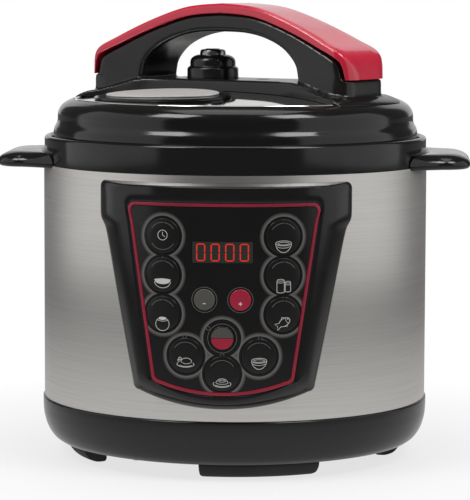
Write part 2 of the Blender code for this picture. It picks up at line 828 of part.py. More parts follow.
def make_handle(lid, plate):
    cap_points = [(0, 0.3300), (0.030, 0.3272), (0.060, 0.3176), (0.088, 0.3050), (0.1065, 0.2935)]
    cap_top = mirrored_curve(cap_points + [(HANDLE_END, ARCH_FOOT)], 3)
    cap_under = offset_curve(cap_top, CAP_THICKNESS)
    arch_top = offset_curve(cap_top, CAP_THICKNESS + GAP)
    for curve in (cap_under, arch_top):
        for end in (0, -1):
            curve[end] = Vector((curve[end].x, ARCH_FOOT))
    opening_points = [(0, 0.3095), (0.020, 0.3087), (0.038, 0.3050), (0.054, 0.2977), (0.0645, 0.2870)]
    opening = mirrored_curve(opening_points + [(HANDLE_OPENING, ARCH_FOOT)], 3)

    def half_width(u):
        return 0.0208 + 0.0080 * min(abs(u) / 0.100, 1.0) ** 2

    post_end = HANDLE_END - 0.0020
    feet = [Vector((post_end, 0.2767)), Vector((post_end, 0.2600))]
    arch_top = [Vector((-p.x, p.y)) for p in feet[::-1]] + arch_top + feet
    legs = [Vector((HANDLE_OPENING, 0.2765)), Vector((HANDLE_OPENING, 0.2600))]
    opening = [Vector((-p.x, p.y)) for p in legs[::-1]] + opening + legs
    arch_section = [(-0.96, 0), (0.96, 0), (0.96, 0.75), (0.80, 1), (-0.80, 1), (-0.96, 0.75)]
    bridge = arch("handle_arch", arch_top, opening, half_width, arch_section, None, lid)
    cap_section = [(-1, 1), (-1, 0.35), (-0.88, 0.05), (0, -0.14), (0.88, 0.05), (1, 0.35), (1, 1)]
    arch("handle_cap", cap_top, cap_under, half_width, cap_section, RED_PLASTIC, lid)

    bar_outline = []
    for side in (1, -1):
        for k in range(13):
            share = side * (1 - k / 6)
            bar_outline.append((BAR_HALF_LENGTH * share, side * (BAR_HALF_WIDTH + 0.0040 * share**2)))
    handle = prism("lid_handle", bar_outline, 0.2560, BAR_TOP, GLOSS_BLACK, lid)
    combine(handle, bridge, "UNION")
    pad_profile = [
        (0.0780, 0.2560),
        (0.1233, 0.2560),
        (0.1233, 0.2605),
        (0.1175, 0.2655),
        (0.1110, 0.2680),
        (0.0780, 0.2680),
    ]
    for name, middle in (("right_pad", 0), ("left_pad", pi)):
        start, end = middle - HANDLE_PAD_HALF_ANGLE, middle + HANDLE_PAD_HALF_ANGLE
        combine(handle, sector(name, pad_profile, start, end, 8, None, lid), "UNION")
    room = [(0, 0.2500), (0.1260, 0.2500), (0.1260, 0.2572), (0.1234, 0.2588), (0.1196, 0.2606)]
    room += [(0.1180, 0.2605)] + raised_dome(0.0004)[::-1]
    combine(handle, turned("handle_room", room, None, lid), "DIFFERENCE")
    well = rod("valve_well", (VALVE_U, 0), 0.0200, 0.250, 0.2765, None, lid, segments=18)
    combine(handle, well, "DIFFERENCE")
    slot = rod("float_well", (FLOAT_U, 0), 0.0050, 0.250, 0.2765, None, lid, segments=16)
    combine(handle, slot, "DIFFERENCE")

    dome_piece("badge_base", BADGE_BASE_AXES, GAP, BADGE_BASE_TOP, GLOSS_BLACK, lid)
    dome_piece("badge_plate", BADGE_AXES, BADGE_BASE_TOP + GAP, BADGE_TOP, BRUSHED_STEEL, lid)
    for k, u in enumerate((-0.088, 0.088)):
        place = (u, 0)
        screw(f"handle_screw_{k + 1}", place, 0.2563, 0.2585, 0.2700, "Z", lid)
        screw_hole(plate, place, 0.257, 0.270, "Z", lid)
        screw_hole(handle, place, 0.255, 0.271, "Z", lid)


def raised_dome(rise):
    """The dome's upper surface from the axis outwards, raised by rise."""
    return [(r, z + rise) for r, z in DOME]


def dome_piece(name, axes, low, high, material, lid):
    """An oval plate that lies on the dome in front of the handle, from low to high above the dome."""
    outline = []
    for k in range(28):
        angle = 2 * pi * k / 28
        outline.append((BADGE_U + axes[0] * cos(angle), BADGE_V + axes[1] * sin(angle)))
    piece = prism(name, outline, 0.2500, 0.2800, material, lid)
    layer = turned(name + "_layer", raised_dome(high) + raised_dome(low)[::-1], None, lid, segments=64)
    return combine(piece, layer, "INTERSECT")


def make_seals(lid):
    ring_profile = [
        (0.1065, 0.2250),
        (0.1192, 0.2250),
        (0.1192, 0.2360),
        (0.1174, 0.2360),
        (0.1174, 0.2280),
        (0.1088, 0.2280),
        (0.1088, 0.2340),
        (0.1065, 0.2340),
    ]
    turned("sealing_ring", ring_profile, SILICONE)
    holder_profile = [
        (0.1093, 0.2284),
        (0.1169, 0.2284),
        (0.1169, 0.2300),
        (0.1110, 0.2300),
        (0.1110, 0.2575),
        (0.1093, 0.2575),
    ]
    turned("seal_ring_holder", holder_profile, POLISHED_STEEL, lid)


def make_valves(lid):
    def round_part(name, profile, material, u, segments=18):
        seat = pivot(name + "_axis", (u, 0, 0), 0, lid)
        return turned(name, profile, material, seat, segments=segments)

    pipe_profile = [
        (0.0018, 0.2520),
        (0.0085, 0.2520),
        (0.0085, 0.2643),
        (0.0050, 0.2643),
        (0.0050, 0.2783),
        (0.0018, 0.2783),
    ]
    round_part("steam_pipe", pipe_profile, SPRING_STEEL, VALVE_U)
    shield_profile = [
        (0, 0.2400),
        (0.0125, 0.2400),
        (0.0140, 0.2415),
        (0.0140, 0.2600),
        (0.0128, 0.2600),
        (0.0128, 0.2420),
        (0, 0.2412),
    ]
    shield = round_part("anti_block_shield", shield_profile, POLISHED_STEEL, VALVE_U)
    for k in range(3):
        angle = pi * k / 3
        low, high = (-0.016, -0.0012, 0.2440), (0.016, 0.0012, 0.2500)
        slit = box(f"shield_slit_{k}", low, high, None, shield.parent)
        slit.rotation_euler.z = angle
        combine(shield, slit, "DIFFERENCE")
    knob_profile = [
        (0.0188, 0.2705),
        (0.0188, 0.2820),
        (0.0178, 0.2832),
        (0.0156, 0.2836),
        (0.0155, 0.2880),
        (0.0138, 0.2902),
        (0.0102, 0.2908),
        (0.0098, 0.2908),
        (0.0098, 0.2850),
        (0.0055, 0.2850),
        (0.0055, 0.2705),
    ]
    round_part("pressure_valve", knob_profile, GLOSS_BLACK, VALVE_U)
    weight_profile = [
        (0, 0.2966),
        (0.0074, 0.2964),
        (0.0090, 0.2954),
        (0.0095, 0.2934),
        (0.0095, 0.2853),
        (0.0042, 0.2853),
        (0.0042, 0.2786),
        (0, 0.2786),
    ]
    round_part("valve_weight", weight_profile, POLISHED_STEEL, VALVE_U)
    float_profile = [
        (0, 0.2540),
        (0.0068, 0.2540),
        (0.0068, 0.2560),
        (0.0034, 0.2560),
        (0.0034, 0.2725),
        (0, 0.2725),
    ]
    round_part("float_valve", float_profile, RED_PLASTIC, FLOAT_U, 16)
    seal_profile = [(0.0039, 0.2616), (0.0080, 0.2616), (0.0080, 0.2645), (0.0039, 0.2645)]
    round_part("float_seal", seal_profile, SILICONE, FLOAT_U, 16)


make_base()
make_body()
make_heater()
make_inner_pot()
make_panel()
make_condensate_cup()
make_lid()
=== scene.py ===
"""Looks of the electric pressure cooker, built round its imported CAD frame.

Metres, +Z up, with the control panel facing -Y. The lid's own axes (u, v) stand at LID_YAW about Z.
"""

from math import cos, pi, radians, sin, sqrt

import bmesh
import bpy
from mathutils import Matrix, Vector


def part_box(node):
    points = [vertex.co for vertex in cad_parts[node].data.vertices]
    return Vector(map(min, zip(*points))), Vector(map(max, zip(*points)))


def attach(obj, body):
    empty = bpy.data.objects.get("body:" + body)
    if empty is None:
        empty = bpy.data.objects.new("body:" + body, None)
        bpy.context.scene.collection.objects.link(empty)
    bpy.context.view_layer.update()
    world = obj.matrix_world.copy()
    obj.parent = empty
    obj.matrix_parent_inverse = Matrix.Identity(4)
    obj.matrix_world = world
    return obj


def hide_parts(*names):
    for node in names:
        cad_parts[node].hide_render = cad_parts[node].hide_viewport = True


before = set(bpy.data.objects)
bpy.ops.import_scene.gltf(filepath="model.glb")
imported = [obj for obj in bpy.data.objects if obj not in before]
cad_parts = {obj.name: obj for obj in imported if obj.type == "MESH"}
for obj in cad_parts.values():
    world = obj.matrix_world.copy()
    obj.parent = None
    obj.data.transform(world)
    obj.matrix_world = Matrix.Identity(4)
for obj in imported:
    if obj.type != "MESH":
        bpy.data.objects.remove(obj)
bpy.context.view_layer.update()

LID_YAW = radians(-30)
ROUND = 192
PANEL_RADIUS = 0.149
KEY_FRONT = 0.1492

# Places on the lid, in its own axes
VALVE_CENTRE = (-0.020, 0)
FLOAT_CENTRE = (0.024, 0)
BADGE_CENTRE = (-0.016, -0.071)

# Every key: name, distance round the panel from its middle, height, cap radius
KEY_RADIUS = 0.0122
KEYS = [
    ("key_delay", -0.042, 0.1726, KEY_RADIUS),
    ("key_rice", -0.042, 0.1460, KEY_RADIUS),
    ("key_porridge", -0.042, 0.1192, KEY_RADIUS),
    ("key_meat", -0.0254, 0.0905, KEY_RADIUS),
    ("key_jelly", 0.0, 0.0784, KEY_RADIUS),
    ("key_soup", 0.0254, 0.0905, KEY_RADIUS),
    ("key_stew", 0.042, 0.1726, KEY_RADIUS),
    ("key_baby_food", 0.042, 0.1460, KEY_RADIUS),
    ("key_fish", 0.042, 0.1192, KEY_RADIUS),
    ("key_cancel", 0.0, 0.1030, 0.0083),
    ("key_minus", -0.0124, 0.1294, 0.0074),
    ("key_plus", 0.0124, 0.1294, 0.0074),
]
DISPLAY_HEIGHT = 0.162


# Materials


def new_material(name, colour, roughness, metallic=0.0):
    material = bpy.data.materials.new(name)
    material.use_nodes = True
    tree = material.node_tree
    shader = tree.nodes["Principled BSDF"]
    shader.inputs["Base Color"].default_value = (*colour, 1.0)
    shader.inputs["Roughness"].default_value = roughness
    shader.inputs["Metallic"].default_value = metallic
    return material, tree, shader


def add(tree, kind, settings=None, **inputs):
    """A new node, with settings for its properties and inputs for its named sockets."""
    made = tree.nodes.new(kind)
    for name, value in (settings or {}).items():
        setattr(made, name, value)
    for name, value in inputs.items():
        made.inputs[name.replace("_", " ")].default_value = value
    return made


def stretched(tree, scale):
    """Object coordinates stretched by scale, which gives how many cells a metre holds along each axis."""
    place = add(tree, "ShaderNodeTexCoord")
    mapping = add(tree, "ShaderNodeMapping", Scale=scale)
    tree.links.new(place.outputs["Object"], mapping.inputs["Vector"])
    return mapping.outputs["Vector"]


def noise(tree, vector, detail=2.0, scale=1.0, roughness=0.5):
    made = add(tree, "ShaderNodeTexNoise", Scale=scale, Detail=detail, Roughness=roughness)
    tree.links.new(vector, made.inputs["Vector"])
    return made.outputs["Fac"]


def ranged(tree, value, low, high, from_low=0.3, from_high=0.7):
    made = add(tree, "ShaderNodeMapRange")
    for name, number in zip(("From Min", "From Max", "To Min", "To Max"), (from_low, from_high, low, high)):
        made.inputs[name].default_value = number
    tree.links.new(value, made.inputs["Value"])
    return made.outputs["Result"]


def blended(tree, factor, first, second):
    """A colour between first and second; each is an RGB triple or a socket."""
    made = add(tree, "ShaderNodeMix", {"data_type": "RGBA"})
    tree.links.new(factor, made.inputs["Factor"])
    for socket, colour in ((made.inputs[6], first), (made.inputs[7], second)):
        if isinstance(colour, tuple):
            socket.default_value = (*colour, 1.0)
        else:
            tree.links.new(colour, socket)
    return made.outputs[2]


def bump(tree, shader, height, distance, strength=1.0, below=None):
    made = add(tree, "ShaderNodeBump", Strength=strength, Distance=distance)
    tree.links.new(height, made.inputs["Height"])
    if below:
        tree.links.new(below, made.inputs["Normal"])
    tree.links.new(made.outputs["Normal"], shader.inputs["Normal"])
    return made.outputs["Normal"]


def math_node(tree, kind, operation, first, second=None):
    """The node of a Math or VectorMath operation; second is a number, a triple or a socket."""
    made = add(tree, "ShaderNode" + kind, {"operation": operation})
    tree.links.new(first, made.inputs[0])
    if isinstance(second, bpy.types.NodeSocket):
        tree.links.new(second, made.inputs[1])
    elif second is not None:
        made.inputs[1].default_value = second
    return made


def tinted(colour, share):
    return tuple(min(1.0, c * share) for c in colour)


def moulded(name, colour, roughness, grain=900.0, depth=0.000004, spread=0.04, coat=0.0):
    """Moulded plastic: fine surface grain, a slow waviness, and gloss and tone that vary a little."""
    material, tree, shader = new_material(name, colour, roughness)
    even = stretched(tree, (1, 1, 1))
    slow = noise(tree, even, 3.0, 28.0)
    tone = blended(tree, slow, tinted(colour, 0.8), tinted(colour, 1.2))
    tree.links.new(tone, shader.inputs["Base Color"])
    handled = noise(tree, even, 4.0, 65.0, 0.6)
    tree.links.new(ranged(tree, handled, roughness - spread, roughness + spread), shader.inputs["Roughness"])
    wave = bump(tree, shader, noise(tree, even, 1.0, 60.0), 0.00003)
    bump(tree, shader, noise(tree, even, 2.0, grain), depth, below=wave)
    if coat:
        shader.inputs["Coat Weight"].default_value = coat
        shader.inputs["Coat Roughness"].default_value = 0.05
    return material


def brushed(name, colour, roughness, along, streak=0.06, anisotropy=0.6, fine=5200.0):
    """Brushed metal. along gives cells a metre in each direction: few along the brushing, many across."""
    material, tree, shader = new_material(name, colour, roughness, 1.0)
    lines = noise(tree, stretched(tree, along), 3.0)
    across = tuple(min(a * 4.5, fine) if a > 200 else a * 1.7 for a in along)
    scratches = noise(tree, stretched(tree, across), 2.0)
    tone = blended(tree, ranged(tree, lines, 0, 1), tinted(colour, 1 - streak), tinted(colour, 1 + streak))
    tree.links.new(tone, shader.inputs["Base Color"])
    rough = ranged(tree, scratches, roughness - 0.05, roughness + 0.05)
    tree.links.new(rough, shader.inputs["Roughness"])
    bump(tree, shader, scratches, 0.000006)
    if anisotropy:
        shader.inputs["Anisotropic"].default_value = anisotropy
        tangent = add(tree, "ShaderNodeTangent", {"direction_type": "RADIAL", "axis": "Z"})
        tree.links.new(tangent.outputs["Tangent"], shader.inputs["Tangent"])
    return material


def turned_metal(name, colour, roughness, rings=900.0, depth=0.000004):
    """Metal finished on a lathe or a press: faint rings round Z, and slow changes of gloss."""
    material, tree, shader = new_material(name, colour, roughness, 1.0)
    place = add(tree, "ShaderNodeTexCoord")
    flat = math_node(tree, "VectorMath", "MULTIPLY", place.outputs["Object"], (1, 1, 0))
    radius = math_node(tree, "VectorMath", "LENGTH", flat.outputs[0])
    split = add(tree, "ShaderNodeSeparateXYZ")
    tree.links.new(place.outputs["Object"], split.inputs[0])
    path = add(tree, "ShaderNodeCombineXYZ")
    tree.links.new(radius.outputs["Value"], path.inputs["X"])
    tree.links.new(split.outputs["Z"], path.inputs["Y"])
    lines = noise(tree, path.outputs[0], 2.0, rings)
    clouds = noise(tree, place.outputs["Object"], 3.0, 40.0)
    tone = blended(tree, clouds, tinted(colour, 0.94), tinted(colour, 1.04))
    tree.links.new(tone, shader.inputs["Base Color"])
    tree.links.new(ranged(tree, lines, roughness * 0.8, roughness * 1.3), shader.inputs["Roughness"])
    bump(tree, shader, lines, depth)
    return material


def grained(name, colour, roughness, scale, depth, metallic=0.0):
    """A matt skin with a pebbled grain, such as rubber, a non-stick coating or cast metal."""
    material, tree, shader = new_material(name, colour, roughness, metallic)
    even = stretched(tree, (1, 1, 1))
    specks = noise(tree, even, 4.0, scale, 0.65)
    tone = blended(tree, specks, tinted(colour, 0.7), tinted(colour, 1.3))
    tree.links.new(tone, shader.inputs["Base Color"])
    clouds = noise(tree, even, 2.0, 30.0)
    tree.links.new(ranged(tree, clouds, roughness - 0.06, roughness + 0.06), shader.inputs["Roughness"])
    bump(tree, shader, specks, depth)
    return material


def circuit(name, colour):
    """Lacquered board with copper runs under the lacquer."""
    material, tree, shader = new_material(name, colour, 0.35)
    bricks = add(tree, "ShaderNodeTexBrick", {"offset": 0.37}, Scale=1.0, Mortar_Size=0.03)
    bricks.inputs["Color1"].default_value = (*colour, 1.0)
    bricks.inputs["Color2"].default_value = (*tinted(colour, 1.25), 1.0)
    bricks.inputs["Mortar"].default_value = (*tinted(colour, 2.4), 1.0)
    tree.links.new(stretched(tree, (160, 90, 120)), bricks.inputs["Vector"])
    tree.links.new(bricks.outputs["Color"], shader.inputs["Base Color"])
    bump(tree, shader, bricks.outputs["Fac"], 0.00002)
    return material


GLOW_INNER = 0.0138
GLOW_WIDTH = 0.0030
CANCEL_GLOW_EXTRA = 0.0008


def printed_face(name, colour):
    """The panel's glossy face, with a soft light-grey band printed round each group of keys."""
    material, tree, shader = new_material(name, colour, 0.2)
    place = add(tree, "ShaderNodeTexCoord")
    split = add(tree, "ShaderNodeSeparateXYZ")
    tree.links.new(place.outputs["Object"], split.inputs[0])
    front = math_node(tree, "Math", "MULTIPLY", split.outputs["Y"], -1.0)
    angle = math_node(tree, "Math", "ARCTAN2", split.outputs["X"], front.outputs[0])
    along = math_node(tree, "Math", "MULTIPLY", angle.outputs[0], PANEL_RADIUS)
    flat = add(tree, "ShaderNodeCombineXYZ")
    tree.links.new(along.outputs[0], flat.inputs["X"])
    tree.links.new(split.outputs["Z"], flat.inputs["Y"])
    nearest = None
    for key, s, z, _ in KEYS:
        if key in ("key_minus", "key_plus"):
            continue
        distance = math_node(tree, "VectorMath", "DISTANCE", flat.outputs[0], (s, z, 0)).outputs["Value"]
        if key == "key_cancel":
            distance = math_node(tree, "Math", "ADD", distance, CANCEL_GLOW_EXTRA).outputs[0]
        if nearest is not None:
            distance = math_node(tree, "Math", "MINIMUM", nearest, distance).outputs[0]
        nearest = distance
    inner = ranged(tree, nearest, 0, 1, GLOW_INNER, GLOW_INNER + 0.0004)
    outer = ranged(tree, nearest, 1, 0, GLOW_INNER + 0.0004, GLOW_INNER + GLOW_WIDTH)
    band = math_node(tree, "Math", "MULTIPLY", inner, outer)
    even = stretched(tree, (1, 1, 1))
    base = blended(tree, noise(tree, even, 3.0, 40.0), tinted(colour, 0.8), tinted(colour, 1.2))
    tree.links.new(blended(tree, band.outputs[0], base, (0.20, 0.19, 0.18)), shader.inputs["Base Color"])
    tree.links.new(ranged(tree, noise(tree, even, 4.0, 90.0), 0.16, 0.26), shader.inputs["Roughness"])
    bump(tree, shader, noise(tree, even, 2.0, 1400.0), 0.000003)
    return material


def lit(name, colour, strength):
    """A surface that gives off light of its own. The display's segments really are lit; on the white print
    the glow is painted light, added so that plain printed marks look brightly lit.
    """
    material, tree, shader = new_material(name, tinted(colour, 0.3), 0.4)
    even = stretched(tree, (1, 1, 1))
    glow = blended(tree, noise(tree, even, 2.0, 700.0), tinted(colour, 0.8), colour)
    tree.links.new(glow, shader.inputs["Emission Color"])
    shader.inputs["Emission Strength"].default_value = strength
    return material


BLACK = (0.0085, 0.0083, 0.0080)
GLOSS = moulded("gloss_black_plastic", BLACK, 0.14)
HANDLE_BLACK = moulded("handle_black_plastic", BLACK, 0.22, depth=0.000007)
SATIN = moulded("satin_black_plastic", (0.016, 0.016, 0.016), 0.42, 1500.0, 0.00002)
KEY_BLACK = moulded("key_black", (0.0065, 0.0063, 0.0060), 0.30, 1500.0, 0.000006)
KEY_GREY = moulded("key_grey", (0.105, 0.098, 0.090), 0.32, 1500.0, 0.000006)
KEY_RED = moulded("key_red", (0.46, 0.020, 0.055), 0.28, 1500.0, 0.000006)
# The white print on the keys glows a little: painted light that makes the printed icons and marks look
# brighter than the lamps leave them.
WHITE_PRINT_PAINTED_GLOW = lit("print_white_painted_glow", (0.80, 0.79, 0.76), 0.42)
PRINT_GREY = moulded("print_grey", (0.150, 0.146, 0.138), 0.45, 1500.0, 0.000004)
PRINT_DIM = moulded("print_dim_grey", (0.030, 0.029, 0.027), 0.45, 1500.0, 0.000004)
FACE = printed_face("panel_face_print", (0.0060, 0.0058, 0.0055))
WINDOW = moulded("display_window", (0.040, 0.037, 0.035), 0.12, depth=0.000002)
SEGMENT = lit("display_segment", (0.80, 0.035, 0.015), 0.75)
CAP_RED = moulded("red_plastic", (0.66, 0.016, 0.052), 0.20, depth=0.000003, coat=0.6)
TRIM = moulded("trim_red", (0.34, 0.020, 0.045), 0.30, depth=0.000003)
SHELL_STEEL = brushed("brushed_steel", (0.72, 0.70, 0.675), 0.36, (9, 9, 1300))
BADGE_STEEL = brushed("brushed_badge", (0.95, 0.94, 0.92), 0.58, (60, 1500, 60), anisotropy=0)
DOME_STEEL = turned_metal("polished_steel", (0.80, 0.79, 0.77), 0.06, 900.0, 0.000001)
ALUMINIUM = grained("cast_aluminium", (0.60, 0.60, 0.61), 0.42, 1600.0, 0.00002, 1.0)
SPUN = turned_metal("spun_aluminium", (0.68, 0.68, 0.69), 0.30, 1400.0, 0.00001)
COATING = grained("pot_coating", (0.030, 0.030, 0.032), 0.38, 2600.0, 0.000015)
WEIGHT = turned_metal("valve_weight_metal", (0.34, 0.335, 0.33), 0.22, 2500.0)
FASTENER = turned_metal("fastener_steel", (0.55, 0.55, 0.55), 0.25, 2500.0)
RUBBER = grained("black_rubber", (0.017, 0.017, 0.017), 0.72, 1800.0, 0.00003)
SILICONE = grained("white_silicone", (0.68, 0.67, 0.63), 0.48, 900.0, 0.00001)
SILICONE.node_tree.nodes["Principled BSDF"].inputs["Subsurface Weight"].default_value = 0.25
SILICONE.node_tree.nodes["Principled BSDF"].inputs["Subsurface Radius"].default_value = (0.002, 0.002, 0.002)
BOARD = circuit("circuit_board", (0.02, 0.10, 0.04))
CUP = moulded("cup_plastic", (0.55, 0.57, 0.60), 0.22)
CUP.node_tree.nodes["Principled BSDF"].inputs["Transmission Weight"].default_value = 0.55


# Mesh helpers


def finish(name, bm, material, sharp=radians(32)):
    bmesh.ops.recalc_face_normals(bm, faces=bm.faces)
    if bm.calc_volume(signed=True) < 0:
        bmesh.ops.reverse_faces(bm, faces=bm.faces)
    mesh = bpy.data.meshes.new(name)
    bm.to_mesh(mesh)
    bm.free()
    mesh.shade_smooth()
    mesh.set_sharp_from_angle(angle=sharp)
    obj = bpy.data.objects.new(name, mesh)
    bpy.context.scene.collection.objects.link(obj)
    if material:
        mesh.materials.append(material)
    return obj


def stand_for(obj, body, slot, *nodes):
    """The piece obj rides on body and is shown in place of the CAD nodes."""
    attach(obj, body)
    if nodes:
        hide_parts(*nodes)
    return obj


def on_lid(obj):
    """Turn a mesh built in the lid's own axes to where the lid stands."""
    obj.data.transform(Matrix.Rotation(LID_YAW, 4, "Z"))
    return obj


def applied(obj):
    """Bake the object's modifiers into its mesh."""
    graph = bpy.context.evaluated_depsgraph_get()
    mesh = bpy.data.meshes.new_from_object(obj.evaluated_get(graph))
    obj.modifiers.clear()
    obj.data = mesh
    return obj


def cut(obj, cutter, operation="DIFFERENCE"):
    modifier = obj.modifiers.new("cut", "BOOLEAN")
    modifier.operation = operation
    modifier.solver = "EXACT"
    modifier.object = cutter
    applied(obj)
    bpy.data.objects.remove(cutter, do_unlink=True)
    obj.data.shade_smooth()
    obj.data.set_sharp_from_angle(angle=radians(32))
    return obj


def bridge(bm, rings, closed):
    for first, second in zip(rings, rings[1:] + rings[:1]) if closed else zip(rings, rings[1:]):
        for i in range(len(first)):
            j = (i + 1) % len(first)
            corners = list(dict.fromkeys([first[i], first[j], second[j], second[i]]))
            if len(corners) > 2:
                bm.faces.new(corners)


def smooth(points, samples=6):
    """A Catmull-Rom curve through points."""
    ends = [points[0]] + list(points) + [points[-1]]
    curve = []
    for k in range(1, len(ends) - 2):
        p0, p1, p2, p3 = (Vector(ends[k + i - 1]) for i in range(4))
        for s in range(samples):
            t = s / samples
            a = 2 * p1 + (p2 - p0) * t + (2 * p0 - 5 * p1 + 4 * p2 - p3) * t * t
            curve.append(tuple((a + (3 * p1 - p0 - 3 * p2 + p3) * t**3) / 2))
    curve.append(tuple(points[-1]))
    return curve


def rounded(outline, radius, steps=4):
    """Round the corners of a closed outline that turn by more than a few degrees; points on the axis stay."""
    made = []
    for i, point in enumerate(outline):
        here = Vector(point)
        before, after = Vector(outline[i - 1]) - here, Vector(outline[(i + 1) % len(outline)]) - here
        if here.x == 0 or (-before).angle(after) < radians(14):
            made.append(tuple(here))
            continue
        reach = min(radius, 0.45 * before.length, 0.45 * after.length)
        start, end = here + before.normalized() * reach, here + after.normalized() * reach
        for k in range(steps + 1):
            t = k / steps
            made.append(tuple(start * (1 - t) ** 2 + here * 2 * t * (1 - t) + end * t * t))
    return made


def turned(name, profile, material, centre=(0, 0), segments=ROUND, profile_at=None):
    """A closed (radius, height) profile turned about the vertical through centre."""
    bm = bmesh.new()
    poles = {}
    rings = []
    for k in range(segments):
        angle = 2 * pi * k / segments
        ring = []
        for i, (r, z) in enumerate(profile_at(angle) if profile_at else profile):
            if r == 0:
                if i not in poles:
                    poles[i] = bm.verts.new((*centre, z))
                ring.append(poles[i])
            else:
                ring.append(bm.verts.new((centre[0] + r * cos(angle), centre[1] + r * sin(angle), z)))
        rings.append(ring)
    bridge(bm, rings, True)
    return finish(name, bm, material)


def turned_skin(node, body, slot, profile, corner, material, centre=(0, 0), segments=ROUND, lid=False):
    """The stand-in for a node, turned from a profile whose corners are rounded."""
    piece = turned(node + "_skin", rounded(profile, corner), material, centre, segments)
    return stand_for(on_lid(piece) if lid else piece, body, slot, node)


def box(name, low, high, material=None):
    bm = bmesh.new()
    bmesh.ops.create_cube(bm, size=1.0)
    for vert in bm.verts:
        vert.co = Vector(low[i] + (vert.co[i] + 0.5) * (high[i] - low[i]) for i in range(3))
    return finish(name, bm, material)


def prism(name, outline, low, high, material=None):
    bm = bmesh.new()
    bottom = [bm.verts.new((x, y, low)) for x, y in outline]
    top = [bm.verts.new((x, y, high)) for x, y in outline]
    bridge(bm, [bottom, top], False)
    bm.faces.new(bottom)
    bm.faces.new(top)
    return finish(name, bm, material)


def lofted(name, loops, material):
    """A closed solid through loops of equal length, capped at both ends."""
    bm = bmesh.new()
    rings = [[bm.verts.new(point) for point in loop] for loop in loops]
    bridge(bm, rings, False)
    bm.faces.new(rings[0])
    bm.faces.new(rings[-1])
    return finish(name, bm, material)


# The base, the shell and the collar


def make_base():
    outer = [(0.1405, 0.0432), (0.141, 0.0427)]
    outer += smooth([(0.141, 0.038), (0.1404, 0.030), (0.138, 0.0215), (0.134, 0.015), (0.1295, 0.0116)])
    outer += [(0.126, 0.0108), (0.124, 0.0108)]
    inner = [
        (0.124, 0.0140), (0.108, 0.0140), (0.108, 0.0168), (0.1275, 0.0168), (0.1342, 0.0240),
        (0.1364, 0.0310), (0.1364, 0.0500), (0.1389, 0.0500), (0.1389, 0.0432),
    ]
    housing = turned("base_housing_skin", rounded(outer + inner, 0.0008), GLOSS)
    low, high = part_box("power_inlet")
    gap = 0.0004
    window = box("inlet_window", (low.x - gap, 0.120, low.z - gap), (high.x + gap, 0.145, high.z + gap))
    cut(housing, window)
    stand_for(housing, "root", "gloss_black", "base_housing")
    cover = [(0, 0.0137), (0.1236, 0.0137), (0.1236, 0.0111), (0.090, 0.0111), (0.087, 0.0121)]
    cover += [(0, 0.0121)]
    turned_skin("bottom_cover", "root", "satin_black", cover, 0.0006, SATIN)


def make_feet():
    """Rubber feet in place of the CAD ones, each with its two ends rounded off."""
    profile = [(0.1045, 0.0108), (0.1235, 0.0108), (0.1225, 0.0065), (0.1190, 0.0022), (0.1130, 0.0)]
    profile = rounded(profile + [(0.1055, 0.0)], 0.0022)
    half, steps, end = radians(20.5), 36, 5
    mid_r, mid_z = 0.1140, 0.0108
    for k in range(4):
        middle = radians(12) - pi / 2 + 2 * pi * k / 4
        loops = []
        for step in range(-end, steps + end + 1):
            share = min(max(step, 0), steps) / steps
            beyond = max(-step, step - steps, 0) / end
            side = -1 if step < 0 else 1
            angle = middle - half + 2 * half * (0.03 + 0.94 * share)
            angle += side * half * 0.06 * sin(beyond * pi / 2)
            shrink = 1 - 0.10 * (1 - sqrt(max(0.0, 1 - beyond**2)))
            section = [(mid_r + (r - mid_r) * shrink, mid_z + (z - mid_z) * shrink) for r, z in profile]
            loops.append([(r * cos(angle), r * sin(angle), z) for r, z in section])
        node = f"foot_{k + 1}"
        stand_for(lofted(node + "_skin", loops, RUBBER), "root", "rubber", node)


def make_body():
    low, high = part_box("outer_shell")
    r = high.x
    inside = r - 0.0008
    profile = rounded([(r, high.z), (r, low.z), (inside, low.z), (inside, high.z)], 0.0003, 2)
    shell = turned("outer_shell_skin", profile, SHELL_STEEL, segments=256)
    cut(shell, box("shell_window", (-0.046, -0.150, 0.084), (0.046, -0.120, 0.191)))
    stand_for(shell, "root", "brushed_steel", "outer_shell")

    top = [(0.1396, 0.2290), (0.1396, 0.2310)]
    top += [(0.13725 + 0.00235 * cos(a * pi / 12), 0.2316 + 0.0024 * sin(a * pi / 12)) for a in range(13)]
    profile = top + [
        (0.1349, 0.2260), (0.1322, 0.2260), (0.1322, 0.2230), (0.1362, 0.2230), (0.1362, 0.2060),
        (0.1389, 0.2060), (0.1389, 0.2140), (0.1396, 0.2140),
    ]
    turned_skin("upper_collar", "root", "gloss_black", profile, 0.0006, GLOSS, segments=256)


def grip_outline(inset):
    """The side handle seen from above: a tongue with round corners whose root follows the collar."""
    root = 0.1403 + inset * 0.2
    reach, half, corner = 0.1717 - inset, 0.0457 - inset, 0.0197 - inset
    root_half = radians(24.3) - inset / root
    points = [(root * cos(root_half * k / 14), root * sin(root_half * k / 14)) for k in range(15)]
    start = Vector(points[-1])
    points[-1:] = [
        tuple(start.lerp(Vector((reach - corner, half)), t) + Vector((0, 0.0012 * sin(pi * t) * -1)))
        for t in (0, 0.2, 0.4, 0.6, 0.8)
    ]
    for k in range(17):
        angle = radians(90) * (1 - k / 16)
        points.append((reach - corner + corner * cos(angle), half - corner + corner * sin(angle)))
    return points + [(x, -y) for x, y in points[:0:-1]]


